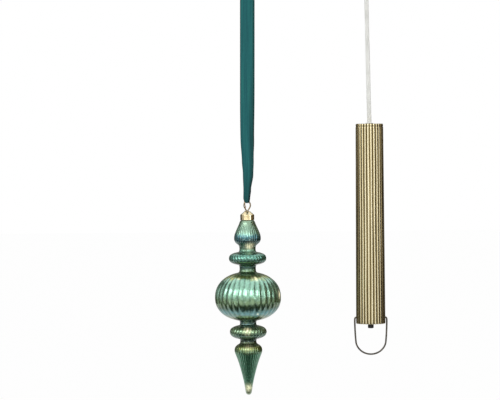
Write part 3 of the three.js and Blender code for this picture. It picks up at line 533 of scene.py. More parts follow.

# %% [markdown]
# Cap and hanging wire are gilt: thin pressed brass and soft wire with bright gold plating. Plating
# reads as mirror bands, cream where the room is white and brown where it is dark. Fine drawing
# lines keep it from looking like a perfect mirror. The wire is dulled and has gone brown all over.
# On the cap, the left of the collar is painted brown as painted shade for its dark reflection, and
# one thin stripe is painted darker. Each vertex keeps how much tarnish and painted shade it has,
# and the material mixes that into its colour.

# %% Gold plating
gilt, tree = start_material("bright gold plating")
place = add(tree, "TexCoord").outputs["Object"]
cloud = add(tree, "TexNoise", {"Vector": place, "Scale": patches(2.857), "Detail": 4})
tone = add(tree, "ValToRGB", {"Fac": cloud}, stops=[(0.3, "#e6d09b"), (0.7, "#fdf3d0")])
smear = add(tree, "TexNoise", {"Vector": place, "Scale": patches(1.111), "Detail": 3})
rough = add(tree, "MapRange", {"Value": smear, "To Min": 0.14, "To Max": 0.26})
bump = add(tree, "Bump", {"Height": cloud, "Distance": 0.03 * MM, "Strength": 0.5})
# Painted shade on the cap collar's left side and a darker stripe, mixed with the wire's brown tarnish
tarnish_and_shade_share = add(tree, "Attribute", attribute_name="tarnish_and_shade").outputs["Fac"]
tarnished_and_shaded = add(tree, "MixRGB", {"Fac": tarnish_and_shade_share, "Color1": tone, "Color2": "#6e5a3a"})
look = {"Base Color": tarnished_and_shaded, "Metallic": 1.0, "Roughness": rough, "Normal": bump}
finish_material(gilt, add(tree, "BsdfPrincipled", look))

# %% The pressed cap
CAP_R = (CAP_HIGH.x - CAP_LOW.x) / 2
CAP_SHEET = 0.5 * MM
CAP_HOLE = 1.65 * MM
CONE_HEIGHT = 3.2 * MM
collar_top = CAP_HIGH.z - CONE_HEIGHT
cap_outline = [
    (CAP_HOLE, CAP_HIGH.z), (CAP_HOLE + 0.6 * MM, CAP_HIGH.z), (CAP_HOLE + 1.0 * MM, CAP_HIGH.z - 0.1 * MM),
    (CAP_R * 0.62, CAP_HIGH.z - 1.25 * MM), (CAP_R - 0.75 * MM, collar_top + 0.65 * MM),
    (CAP_R - 0.3 * MM, collar_top + 0.3 * MM), (CAP_R - 0.08 * MM, collar_top + 0.02 * MM),
    (CAP_R - 0.04 * MM, collar_top - 0.15 * MM), (CAP_R - 0.04 * MM, collar_top - 0.4 * MM),
    (CAP_R - 0.03 * MM, CAP_LOW.z + 0.5 * MM), (CAP_R, CAP_LOW.z + 0.3 * MM),
    (CAP_R - 0.04 * MM, CAP_LOW.z + 0.08 * MM), (CAP_R - 0.2 * MM, CAP_LOW.z),
    (CAP_R - CAP_SHEET - 0.1 * MM, CAP_LOW.z + 0.1 * MM),
    (CAP_R - CAP_SHEET - 0.15 * MM, collar_top - 0.8 * MM), (CAP_R - 1.3 * MM, collar_top),
    (CAP_HOLE + 1.0 * MM, CAP_HIGH.z - CAP_SHEET), (CAP_HOLE, CAP_HIGH.z - CAP_SHEET),
    (CAP_HOLE, CAP_HIGH.z),
]
bm = turned(cap_outline, 72, ORNAMENT_X)
# From and to, in degrees round from the collar's left, and how much darker: painted shade on the side, a
# darker stripe
SHADED_SIDE, DARK_STRIPE = (-12, 40, 0.95), (52, 60, 0.7)
tarnish_and_shade = bm.verts.layers.float.new("tarnish_and_shade")
for vert in bm.verts:
    turn = math.degrees(math.atan2(-vert.co.y, ORNAMENT_X - vert.co.x))
    if vert.co.z < collar_top + 0.1 * MM:
        vert[tarnish_and_shade] = sum(much * (a <= turn <= b) for a, b, much in (SHADED_SIDE, DARK_STRIPE))
cap = make_object("cap_shell", bm, gilt, 40)
fit(cap, "ornament", "gilt_metal", "ornament_cap")

# %% The hanging wire
# Its two legs cross, twist half a turn and spread inside the neck, where they spring outwards
LOOP_R, LOOP_LENGTH, TWIST_R, TWIST_LENGTH = 2.8, 8.2, 0.75, 2.8
LEG_REACH = 3.5
WIRE_R = 0.6 * MM
crown = [(x, 0, z) for x, z in arc(LOOP_R, (90, 60, 30, 0), z=-LOOP_R)]
sides = [(LOOP_R, 0, -4.1), (LOOP_R * 0.8, 0, -5.74), (LOOP_R * 0.48, 0, -7.2)]
twist = [
    (x, y, -LOOP_LENGTH - TWIST_LENGTH * k / 4)
    for k, (x, y) in enumerate(arc(TWIST_R, (0, 45, 90, 135, 180)))
]
leg_top = -LOOP_LENGTH - TWIST_LENGTH
leg_stops = [
    (-LEG_REACH * 0.55, 0, leg_top - 2.64), (-LEG_REACH, 0, leg_top - 5.4),
    (-LEG_REACH, 0, leg_top - 8.16), (-LEG_REACH - 1, 0, leg_top - 12),
]
right_half = [*crown, *sides, *twist, *leg_stops]
wire_stops = [(-x, -y, z) for x, y, z in reversed(right_half[1:])] + right_half
wire_path = smooth_path([Vector(s) * MM + Vector((ORNAMENT_X, 0, WIRE_TOP)) for s in wire_stops])
bm = tube_along(wire_path, round_section(WIRE_R, 14), (0, 1, 0))
tarnish_and_shade = bm.verts.layers.float.new("tarnish_and_shade")
for vert in bm.verts:
    vert[tarnish_and_shade] = 0.85 + 0.15 * noise.noise(vert.co / (2 * MM))
wire = make_object("loop_wire", bm, gilt, 60)
fit(wire, "ornament", "gilt_metal", "hanger_wire")

# %% [markdown]
# The finial is blown glass with a mirror coat on its inside. Its form is turned: a pear, a thin
# disc, a ball, a second disc and a long point, joined by narrow stems, all blown in one. Thirty-
# two ribs run from top to bottom, twisted a little by the blowing. Each round form is a curve
# between an oval and a rounded box, so one number sets how full its shoulders are. The outline
# is softened where the forms meet and spun round, and the ribs are then pressed in.

# %% The finial's outline
FINIAL_LENGTH, STEM_R, GLASS_WALL = 156, 7.2, 1.2

def bulge(radius, up, down, middle, stem, square=2.0, steps=10):
    """Points down a round form between two stems; above 2, square fills out its shoulders"""
    def point(height, share):
        return radius * max(1 - share**square, 0) ** (1 / square), middle + height * share
    last = (1 - (stem / radius) ** square) ** (1 / square)
    shares = [last * math.sin(math.radians(90 * k / steps)) for k in range(steps, -1, -1)]
    return [point(up, t) for t in shares] + [point(-down, t) for t in reversed(shares[:-1])]

def finial_outline(shrink, steps):
    """Radius and height of the body in millimetres, from the neck down, 0 at the top"""
    stem = STEM_R - shrink
    pear, disc, ball, low_disc, point = (r - shrink for r in (12.1, 16.9, 29.8, 16.7, 12.6))
    shoulder = [(6.9, 0), (7.6, -2.1), (9.3, -5.7), (10.9, -9.3), (11.6, -11.3), (12.0, -13.2)]
    drawn_out = [
        (12.4, -117.2), (11.8, -119.1), (9.5, -124.4), (7.6, -130.8), (5.55, -138.4), (3.85, -145.9),
        (3.35, -149.7),
    ]
    return [
        *((r - shrink, z) for r, z in shoulder),
        *bulge(pear, 0.1, 7.6, -15.2, stem, 2.0, steps)[steps:],
        *bulge(disc, 6.1, 6.2, -32.75, stem, 2.6, 2 * steps),
        *bulge(ball, 23.1, 21.4, -68.0, stem, 2.2, 3 * steps),
        *bulge(low_disc, 6.5, 7.0, -99.0, stem, 2.4, 2 * steps),
        *bulge(point, 7.0, 1.0, -115.5, stem, 2.3, steps)[: steps + 1],
        *((r - shrink, z) for r, z in drawn_out),
    ]

TIP_R = 2.7
tip = [(3.05, -151.6), *arc(TIP_R, (-5, -25, -45, -65, -90), z=-FINIAL_LENGTH + TIP_R)]
outer_outline = finial_outline(0, 6) + tip
inner_outline = finial_outline(GLASS_WALL, 3)
print("finial height, mm:", FINIAL_LENGTH, "outline points:", len(outer_outline))

# %% Spin the finial
RIBS, FACES_PER_RIB = 32, 7
NECK_R, NECK_WALL, NECK_HEIGHT = 5.4, 1.0, 5.4
SEAT_R = CAP_R / MM - 0.1
seat_z = SHOULDER_RISE / MM
neck = [(NECK_R - NECK_WALL, NECK_HEIGHT - 0.3), (NECK_R - 0.5, NECK_HEIGHT), (NECK_R, NECK_HEIGHT - 0.3)]
seat = [
    (NECK_R, seat_z + 0.25), (NECK_R + 0.25, seat_z), (SEAT_R - 0.3, seat_z), (SEAT_R, seat_z - 0.25),
    (SEAT_R + 0.35, 0.7),
]
inside = [(0.0, -151.0), (1.0, -149.5)] + inner_outline[::-1] + [(NECK_R - NECK_WALL, 0)]
bm = bmesh.new()
verts = [bm.verts.new((r * MM, 0, z * MM)) for r, z in inside + neck + seat + outer_outline]
edges = [bm.edges.new(pair) for pair in zip(verts, verts[1:])]
bmesh.ops.subdivide_edges(bm, edges=[e for e in edges if e.calc_length() > 1.6 * MM], cuts=1)
bm.verts.ensure_lookup_table()
soften = [v for v in bm.verts if v.co.x > 2.5 * MM and -150 * MM < v.co.z < -0.8 * MM]
for _ in range(2):
    bmesh.ops.smooth_vert(bm, verts=soften, factor=0.5, use_axis_x=True, use_axis_z=True)
spin_round(bm, RIBS * FACES_PER_RIB)
print("finial, spun:", len(bm.verts), "vertices")

# %% [markdown]
# A mould leaves even ribs and blowing disturbs them, so noise drifts them sideways, makes some
# deeper and pulls the body a little out of round. The noise follows a circle round the axis, so
# that it meets itself at the back. Each vertex keeps how far down a valley it lies.

# %% Press the ribs
RIB_DEPTH, OUT_OF_ROUND = 0.028, 0.006
RIB_FADE_TOP, RIB_FADE_TIP = 3 * MM, 8 * MM
# How far round, in ribs, the ribs have swung by each height; they swing where the discs flare
SWING = 0.9
upper_swirl = [(-38.6, -1), (-26.4, 0)]
lower_swirl = [(-105.6, 1), (-92.4, 0)]

def noise_round(angle, height, across, along):
    return noise.noise(Vector((math.cos(angle) * across, math.sin(angle) * across, height * along)))

def narrow(vert, share):
    vert.co.x *= share
    vert.co.y *= share

valley = bm.verts.layers.float.new("valley")
for vert in bm.verts:
    height, radius = vert.co.z, math.hypot(vert.co.x, vert.co.y)
    if height > -1 * MM or radius < 1e-5:
        continue
    angle = math.atan2(vert.co.y, vert.co.x)
    drift = 0.35 * noise.noise(Vector((1.5, 0, height * 60))) + 0.12 * noise_round(angle, height, 2, 120)
    swirl = SWING * (between(upper_swirl, height / MM) + between(lower_swirl, height / MM))
    wave = 0.5 + 0.5 * math.cos(RIBS * angle + (drift / 2 + swirl) * TURN)
    depth = RIB_DEPTH + 0.012 * noise_round(angle, height, 3, 90)
    from_tip = (height + FINIAL_LENGTH * MM) / RIB_FADE_TIP
    fade = min(1, (-1 * MM - height) / RIB_FADE_TOP) * min(1, from_tip)
    wobble = OUT_OF_ROUND * noise_round(angle, height, 1.2, 45)
    vert[valley] = 1 - wave
    narrow(vert, 1 - depth * fade * (1 - wave) ** 1.5 + wobble * fade)
bmesh.ops.translate(bm, verts=bm.verts, vec=(ORNAMENT_X, 0, GLASS_TOP))

# %% [markdown]
# The mirror coat lies on the inside of the clear glass. It is teal and sea green, mottled like
# old silvering. Light and reflections are painted into its colour as a ramp down the height,
# disturbed by noise: each bulge is painted paler above as a highlight and darker below, with a blue
# band under some and an olive ring under others as painted reflections. Clear glass over it is a
# glossy coat. Small lights inside are painted on the glass as warm glowing spots. Each is a soft
# round term about a place on the wall, chosen by height and angle where the photograph shows a glow.

# %% Where the painted glow of the lights sits
# Height below the glass top in mm, degrees from the right, reach in mm, brightness
glow_places = [
    (21.4, -75, 3.2, 1.3), (49.6, -70, 2.8, 1.3), (64.8, -16, 3.2, 1.2), (49.8, -114, 1.6, 0.6),
    (96.6, -98, 3.0, 1.3), (112.8, -94, 3.4, 0.5), (148.6, -90, 3.0, 1.2), (82.0, -70, 1.0, 0.9),
]
spots = []
for height, degrees, reach, brightness in glow_places:
    aim = Vector((math.cos(math.radians(degrees)), math.sin(math.radians(degrees)), 0))
    axis_point = Vector((ORNAMENT_X, 0, GLASS_TOP - height * MM))
    ring = [v.co for v in bm.verts if abs(v.co.z - axis_point.z) < 0.8 * MM]
    spot = max(ring, key=lambda co: (co - axis_point).dot(aim))
    spots.append((tuple(spot), reach * MM, brightness))
print("glowing places:", len(spots))

# %% The coat's colours down the height
mirror_coat, tree = start_material("blown glass with a mottled mirror coat")
place = add(tree, "TexCoord").outputs["Object"]
height = add(tree, "SeparateXYZ", {"Vector": place}).outputs["Z"]
blotch = add(
    tree, "TexNoise", {"Vector": place, "Scale": patches(6.25), "Detail": 5, "Roughness": 0.65}
)
fleck = add(tree, "TexNoise", {"Vector": place, "Scale": patches(1.613), "Detail": 4, "Roughness": 0.7})
down_share = add(tree, "MapRange", {
    "Value": height, "From Min": GLASS_TOP, "From Max": GLASS_TOP - FINIAL_LENGTH * MM,
})
shake = add(tree, "MapRange", {"Value": blotch, "To Min": -0.035, "To Max": 0.035})
level = add(tree, "Math", {0: down_share, 1: shake}, operation="ADD")
PEAR, STEM_1, DISC_1, STEM_2, BALL, STEM_3, DISC_2, STEM_4, POINT = (
    z / FINIAL_LENGTH for z in (8, 24, 32.5, 41, 68.7, 91, 99, 107, 116)
)
# Painted light: the ramp paints each bulge paler above as a highlight and darker below, with blue and olive
# bands as painted reflections
painted_light_ramp = add(tree, "ValToRGB", {"Fac": level}, stops=[
    (0.0, "#93b295"), (PEAR, "#98c3aa"), (PEAR + 0.012, "#83b5a0"), (PEAR + 0.028, "#3a7680"),
    (PEAR + 0.055, "#23535f"), (STEM_1, "#55795f"), (DISC_1 - 0.015, "#68ae9b"),
    (DISC_1 + 0.02, "#2b5d4b"), (STEM_2, "#23544d"), (STEM_2 + 0.038, "#7f9a5e"),
    (STEM_2 + 0.05, "#c6cd74"), (BALL - 0.108, "#a3dcc4"), (BALL - 0.02, "#8fc0a4"),
    (BALL + 0.01, "#85a678"), (BALL + 0.045, "#506a4a"), (BALL + 0.08, "#6eaab0"),
    (STEM_3 - 0.03, "#7f8c3c"), (STEM_3, "#1f4d55"), (DISC_2 - 0.015, "#8dab7e"),
    (DISC_2 + 0.02, "#315f4c"), (STEM_4, "#132924"), (POINT - 0.02, "#74822f"),
    (POINT + 0.02, "#52906e"), (0.93, "#629c7e"), (1.0, "#a9b59a"),
])

# %% Silvered flecks, worn places and painted shade in the valleys
silver = add(tree, "MapRange", {"Value": fleck, "From Min": 0.55, "From Max": 0.66, "To Max": 0.55})
silvered = add(tree, "MixRGB", {"Fac": silver, "Color1": painted_light_ramp, "Color2": "#c4e8d6"})
worn = add(tree, "MapRange", {"Value": fleck, "From Min": 0.45, "From Max": 0.36, "To Max": 0.5})
mottled = add(tree, "MixRGB", {"Fac": worn, "Color1": silvered, "Color2": "#4a6238"})
valley_share = add(tree, "Attribute", attribute_name="valley").outputs["Fac"]
uneven = add(tree, "MapRange", {"Value": blotch, "From Min": 0.35, "From Max": 0.62, "To Min": 0.2})
low_place = add(tree, "MapRange", {"Value": valley_share, "From Min": 0.4, "To Max": 0.6})
# Painted shade: the rib valleys are painted dark green, unevenly, where the ribs shade each other
dark = add(tree, "Math", {0: low_place, 1: uneven}, operation="MULTIPLY")
valley_shaded = add(tree, "MixRGB", {"Fac": dark, "Color1": mottled, "Color2": "#1d4638"})
dent = add(tree, "Bump", {"Height": fleck, "Distance": 0.2 * MM, "Strength": 0.5})
rough = add(tree, "MapRange", {"Value": blotch, "To Min": 0.1, "To Max": 0.3})

# %% The painted glow, and the finial as a piece
# Painted light: each spot adds warm emission to the glass, fading with distance from its place, for the
# lights shining through
glow = 0.0
for spot, reach, brightness in spots:
    away = add(tree, "VectorMath", {0: place, 1: spot}, operation="DISTANCE").outputs["Value"]
    scaled = add(tree, "Math", {0: away, 1: reach}, operation="DIVIDE")
    squared = add(tree, "Math", {0: scaled, 1: 2.0}, operation="POWER")
    falling = {0: squared, 1: -1.0, 2: math.log(brightness)}
    falling = add(tree, "Math", falling, operation="MULTIPLY_ADD")
    fade = add(tree, "Math", {0: falling}, operation="EXPONENT")
    glow = add(tree, "Math", {0: glow, 1: fade}, operation="ADD")
patchy = add(tree, "MapRange", {"Value": fleck, "From Min": 0.32, "From Max": 0.56, "To Min": 0.25})
crest = add(tree, "MapRange", {
    "Value": valley_share, "From Min": 0.3, "From Max": 0.9, "To Min": 1.0, "To Max": 0.35,
})
for share in (patchy, crest):
    glow = add(tree, "Math", {0: glow, 1: share}, operation="MULTIPLY")
skin = add(tree, "BsdfPrincipled", {
    "Base Color": valley_shaded, "Metallic": 0.85, "Roughness": rough, "Normal": dent, "Coat Weight": 1.0,
    "Coat Roughness": 0.04, "Coat IOR": 1.5, "Emission Color": "#fbf0c4", "Emission Strength": glow,
})
finish_material(mirror_coat, skin)
finial = make_object("finial_shell", bm, mirror_coat, 180)
fit(finial, "glass", "silvered_glass", "glass_finial")

# %% [markdown]
# The battery tube's sleeve is moulded and then plated to look like old brass: cream on the crests
# of its flutes where it is rubbed and brown down in the valleys. Its colour is also painted darker
# at both flanks, a painted shade for the dark reflections there. It is spun as a plain tube first.
# Its flutes are then pressed in, all the way from the top edge to the rim, where each valley ends a
# little higher than its crests and makes a scalloped edge.

# %% The fluted sleeve
FLUTES, FACES_PER_FLUTE = 28, 10
CREST_AT = -99.1
FLUTE_DEPTH, SCALLOP = 0.52, 0.5
TOP_R, RIM_R, BORE_R, LEAD_HOLE_R = 12.45, 13.25, 10.3, 3.2
FLUTES_FROM = 3.1
sleeve_top, sleeve_rim = SLEEVE_HIGH.z / MM, SLEEVE_LOW.z / MM
inner_edge = sleeve_top - 2

def crest_point(z):
    """A crest's radius at a height, with the height: the sleeve widens towards its rim"""
    return TOP_R + (RIM_R - TOP_R) * (sleeve_top - z) / (sleeve_top - sleeve_rim), z

outline = [
    (BORE_R, inner_edge), (LEAD_HOLE_R, inner_edge), (LEAD_HOLE_R, sleeve_top), (TOP_R - 1.1, sleeve_top),
    (TOP_R - 0.75, sleeve_top - 0.08), (TOP_R - 0.3, sleeve_top - 0.35), (TOP_R - 0.1, sleeve_top - 0.8),
    (TOP_R - 0.05, sleeve_top - 2.1), (TOP_R - 0.3, sleeve_top - 2.4), (TOP_R - 0.3, sleeve_top - 2.8),
    *(crest_point(sleeve_top - drop) for drop in (FLUTES_FROM, 3.4, 4.2)),
    *(crest_point(sleeve_top - FLUTES_FROM - step) for step in range(8, 170, 8)),
    crest_point(sleeve_rim + 1.4), (RIM_R - 0.05, sleeve_rim + 0.5), (RIM_R - 0.25, sleeve_rim + 0.1),
    (RIM_R - 0.6, sleeve_rim), (BORE_R + 0.35, sleeve_rim), (BORE_R, sleeve_rim + 0.35),
    (BORE_R, inner_edge),
]
bm = turned([(r * MM, z * MM) for r, z in outline], FLUTES * FACES_PER_FLUTE)
valley = bm.verts.layers.float.new("valley")
for vert in bm.verts:
    radius = math.hypot(vert.co.x, vert.co.y)
    if radius < 11 * MM:
        continue
    angle = math.atan2(vert.co.y, vert.co.x)
    z = vert.co.z / MM
    drift = 0.5 * noise_round(angle, z, 2.5, 0.03)
    wave = 0.5 - 0.5 * math.cos(FLUTES * (angle - math.radians(CREST_AT)) + drift)
    depth = (FLUTE_DEPTH + 0.2 * noise_round(angle, z, 4, 0.02)) * MM
    vert[valley] = wave
    narrow(vert, 1 - depth * wave / radius)
    if z < sleeve_rim + 1:
        vert.co.z += SCALLOP * MM * wave
bmesh.ops.translate(bm, verts=bm.verts, vec=(TUBE_X, 0, 0))

# %% Antique brass plating
# Painted shade: where each flank's painted darkening starts and where it is full, either side of the tube's
# axis
SHADED_FLANKS = (-9.2 * MM, -10.6 * MM), (7 * MM, 10.6 * MM)
plated, tree = start_material("antique brass plating on a moulding")
place = add(tree, "TexCoord").outputs["Object"]
hollow = add(tree, "Attribute", attribute_name="valley").outputs["Fac"]
cloud = add(tree, "TexNoise", {"Vector": place, "Scale": patches(16.67), "Detail": 2})
drag = add(tree, "Mapping", {"Vector": place, "Scale": (1, 1, 0.04)})
drawn = add(tree, "TexNoise", {"Vector": drag, "Scale": patches(3.0303), "Detail": 1})
worn = add(tree, "MixRGB", {"Fac": 0.3, "Color1": hollow, "Color2": drawn})
rubbed = add(tree, "ValToRGB", {"Fac": worn}, stops=[
    (0.2, "#f4ebca"), (0.38, "#dccb98"), (0.6, "#96855a"), (0.85, "#4c3f1e"),
])
x = add(tree, "SeparateXYZ", {"Vector": place}).outputs["X"]
# Painted shade on both flanks, standing for their dark reflections
painted_flank_shade = 0.0
for near, far in SHADED_FLANKS:
    flank = {"Value": x, "From Min": TUBE_X + near, "From Max": TUBE_X + far, "To Max": 0.7}
    flank = add(tree, "MapRange", flank, interpolation_type="SMOOTHSTEP")
    painted_flank_shade = add(tree, "Math", {0: painted_flank_shade, 1: flank}, operation="ADD")
tone = add(tree, "MixRGB", {"Fac": painted_flank_shade, "Color1": rubbed, "Color2": "#4e3f1e"})
rough = add(tree, "MapRange", {"Value": cloud, "To Min": 0.26, "To Max": 0.34})
bump = add(tree, "Bump", {"Height": cloud, "Distance": 0.1 * MM, "Strength": 0.15})
look = {"Base Color": tone, "Metallic": 0.9, "Roughness": rough, "Normal": bump}
finish_material(plated, add(tree, "BsdfPrincipled", look))
sleeve = make_object("sleeve_shell", bm, plated, 50)
fit(sleeve, "battery_tube", "plated_brass", "fluted_sleeve")

# %% [markdown]
# The bail is a round wire that hangs from two ears in the sleeve's wall. It is spring steel with
# a thin bronze plating that has gone grey.

# %% Grey bronze wire
bronze, tree = start_material("bronze plated spring wire")
place = add(tree, "TexCoord").outputs["Object"]
cloud = add(tree, "TexNoise", {"Vector": place, "Scale": patches(3.846), "Detail": 4})
tone = add(tree, "ValToRGB", {"Fac": cloud}, stops=[(0.3, "#47433c"), (0.7, "#6b665c")])
rough = add(tree, "MapRange", {"Value": cloud, "To Min": 0.3, "To Max": 0.45})
bump = add(tree, "Bump", {"Height": cloud, "Distance": 0.02 * MM, "Strength": 0.4})
look = {"Base Color": tone, "Metallic": 0.95, "Roughness": rough, "Normal": bump}
finish_material(bronze, add(tree, "BsdfPrincipled", look))

# %% The bail
BAIL_WIRE = 1.5
pivot = sleeve_rim + 5.6
crest = crest_point(pivot)[0]
bail_leg = crest + 0.35 + BAIL_WIRE / 2
ARCH_R, ARCH_HEIGHT = 13.6, 12.8
arch_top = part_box("bail")[0].z / MM + BAIL_WIRE / 2 + ARCH_HEIGHT
arch = [
    (ARCH_R * math.sin(a), arch_top - ARCH_HEIGHT * math.cos(a))
    for a in (math.radians(d) for d in (75, 60, 45, 30, 15))
]
right_side = [
    (crest - 1.7, pivot), (bail_leg - 1.4, pivot), (bail_leg - 0.38, pivot - 0.38),
    (bail_leg, pivot - 1.4), (bail_leg, pivot - 8), (ARCH_R + 0.1, arch_top + 1), *arch,
]
bail_stops = [*right_side, (0, arch_top - ARCH_HEIGHT), *((-x, z) for x, z in reversed(right_side))]
bail_path = smooth_path([(TUBE_X + x * MM, 0, z * MM) for x, z in bail_stops], per_span=6)
bm = tube_along(bail_path, round_section(BAIL_WIRE / 2 * MM, 16), (0, 1, 0))
bail = make_object("bail_wire", bm, bronze, 60)
fit(bail, "bail", "bronze_wire", "bail")

# %% [markdown]
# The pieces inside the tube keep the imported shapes: their forms are right, and little of them
# shows. Each still gets the finish of the real part: spring steel, brass strip, moulded plastic,
# wire insulation, printed cell sleeves and a glass-fibre board.

# %% Finishes for the inner pieces
def plain_finish(name, dark, light, metallic, roughness, grain_mm, relief_mm):
    """A moulded, plated or printed surface: two near colours in a fine grain, a little relief"""
    material, tree = start_material(name)
    place = add(tree, "TexCoord").outputs["Object"]
    grain = add(tree, "TexNoise", {"Vector": place, "Scale": patches(grain_mm), "Detail": 3})
    tone = add(tree, "ValToRGB", {"Fac": grain}, stops=[(0.3, dark), (0.7, light)])
    bump = add(tree, "Bump", {"Height": grain, "Distance": relief_mm * MM, "Strength": 0.5})
    look = {"Base Color": tone, "Metallic": metallic, "Roughness": roughness, "Normal": bump}
    finish_material(material, add(tree, "BsdfPrincipled", look))
    return material

def refinish(material, *node_names):
    for node_name in node_names:
        for slot in bpy.data.objects[node_name].material_slots:
            slot.material = material

nickel = plain_finish("nickel plated spring steel", "#a7a49c", "#c9c6be", 1.0, 0.28, 1.5, 0.02)
brass = plain_finish("rolled brass strip", "#b8975a", "#d6ba78", 1.0, 0.3, 2.0, 0.02)
white_pp = plain_finish("white moulded polypropylene", "#dcd9d0", "#e8e6de", 0.0, 0.5, 1.2, 0.03)
black_abs = plain_finish("black moulded ABS", "#0a0a0a", "#121211", 0.0, 0.5, 0.8, 0.03)
red_pvc = plain_finish("red PVC insulation", "#a02a20", "#b5362a", 0.0, 0.4, 1.0, 0.02)
black_pvc = plain_finish("black PVC insulation", "#161616", "#222222", 0.0, 0.4, 1.0, 0.02)
foil = plain_finish("printed foil sleeve of a dry cell", "#2b3338", "#39434a", 0.5, 0.35, 2.5, 0.02)
board = plain_finish("glass fibre board with solder mask", "#1d5a33", "#27693d", 0.0, 0.35, 0.9, 0.02)

refinish(nickel, "plus_contact", "tail_spring", "spring_plate", "timer_crystal")
refinish(brass, "return_strip", "contact_ring")
refinish(white_pp, "top_insulator", "cell_liner", "resistor", "switch_plunger")
refinish(black_abs, "timer_chip", "switch_body")
refinish(red_pvc, "plus_wire")
refinish(black_pvc, "minus_wire")
refinish(foil, "cell_upper", "cell_middle", "cell_lower")
refinish(board, "circuit_board")

# %% [markdown]
# The rest is small and turned: the grommet at the tube's top, the bush where the fine pair enters
# the cap, the button in the middle of the tube's plug, and the plug itself. A coin turns the
# plug, so a slot is cut across its open end with a box.

# %% Grommet and bush
grommet_low, grommet_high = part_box("lead_grommet")
GROMMET_R, FLANGE_R = 2.9 * MM, 4.8 * MM
flange_top = SLEEVE_HIGH.z - 2.3 * MM
lip = SLEEVE_HIGH.z + CLEARANCE
grommet_outline = [
    (0, grommet_low.z), (4.5 * MM, grommet_low.z), (FLANGE_R, grommet_low.z + 0.3 * MM),
    (FLANGE_R, flange_top), (GROMMET_R, flange_top), (GROMMET_R, lip), (GROMMET_R + 0.65 * MM, lip),
    (GROMMET_R + 0.7 * MM, lip + 0.12 * MM), (GROMMET_R + 0.5 * MM, grommet_high.z - 0.06 * MM),
    (GROMMET_R + 0.2 * MM, grommet_high.z), (0, grommet_high.z),
]
grommet = make_object("grommet_moulding", turned(grommet_outline, 48, TUBE_X), clear_pvc)
fit(grommet, "battery_tube", "clear_pvc", "lead_grommet")

BUSH_R, BUSH_BORE = 0.9 * MM, 0.6 * MM
bush_outline = [
    (BUSH_BORE, bush_low.z), (BUSH_R - 0.1 * MM, bush_low.z), (BUSH_R, bush_low.z + 0.1 * MM),
    (BUSH_R, bush_high.z - 0.15 * MM), (BUSH_R - 0.12 * MM, bush_high.z), (BUSH_BORE, bush_high.z),
    (BUSH_BORE, bush_low.z),
]
bush = make_object("bush_moulding", turned(bush_outline, 28, bush_x * MM, bush_y * MM), clear_pvc)
fit(bush, "ornament", "clear_pvc", "cap_bush")

# %% Button and plug
button_low, button_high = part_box("push_button")
BUTTON_R, ROUND = 2.6 * MM, 0.7 * MM
flange_low = button_high.z - 2.3 * MM
button_outline = [
    (0, button_low.z), (1.2 * MM, button_low.z + 0.02 * MM),
    *arc(ROUND, range(-90, 1, 15), BUTTON_R - ROUND, button_low.z + ROUND),
    (BUTTON_R, flange_low), (BUTTON_R + 1.1 * MM, flange_low), (BUTTON_R + 1.2 * MM, flange_low + 0.1 * MM),
    (BUTTON_R + 1.2 * MM, button_high.z), (0, button_high.z),
]
button = make_object("button_cap", turned(button_outline, 56, TUBE_X), black_abs)
fit(button, "button", "black_moulding", "push_button")

plug_low, plug_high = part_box("tail_plug")
PLUG_R = (plug_high.x - plug_low.x) / 2
SHAFT_R, CUP_R, LEDGE_R = 2.9 * MM, 8.9 * MM, 7.9 * MM
ledge_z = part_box("switch_body")[1].z
floor_z = flange_low - CLEARANCE
plug_outline = [
    (SHAFT_R, plug_low.z + 0.2 * MM), (SHAFT_R + 0.2 * MM, plug_low.z), (PLUG_R - 0.5 * MM, plug_low.z),
    (PLUG_R - 0.15 * MM, plug_low.z + 0.15 * MM), (PLUG_R, plug_low.z + 0.5 * MM),
    (PLUG_R, plug_high.z), (CUP_R, plug_high.z), (CUP_R, ledge_z), (LEDGE_R, ledge_z),
    (LEDGE_R, floor_z), (SHAFT_R, floor_z), (SHAFT_R, plug_low.z + 0.2 * MM),
]
plug = make_object("plug_moulding", turned(plug_outline, 96, TUBE_X), black_abs)

# %% The coin slot
SLOT_LONG, SLOT_WIDE, SLOT_DEEP = 15 * MM, 1.8 * MM, 1 * MM
bm = bmesh.new()
bmesh.ops.create_cube(bm, size=2)
bmesh.ops.scale(bm, verts=bm.verts, vec=(SLOT_LONG / 2, SLOT_WIDE / 2, SLOT_DEEP))
bmesh.ops.translate(bm, verts=bm.verts, vec=(TUBE_X, 0, plug_low.z))
cutter = make_object("coin_slot", bm, black_abs)
slot = plug.modifiers.new("coin_slot", "BOOLEAN")
slot.object = cutter
slot.operation = "DIFFERENCE"
cut_mesh = bpy.data.meshes.new_from_object(plug.evaluated_get(bpy.context.evaluated_depsgraph_get()))
plug.modifiers.clear()
plug.data = cut_mesh
bpy.data.objects.remove(cutter)
fit(plug, "tail", "black_moulding", "tail_plug")

# %% [markdown]
# The lights are clear resin drops on a fine copper wire that runs down the middle of the glass.
# Little of them shows through the coat, but they are what warms it from inside.

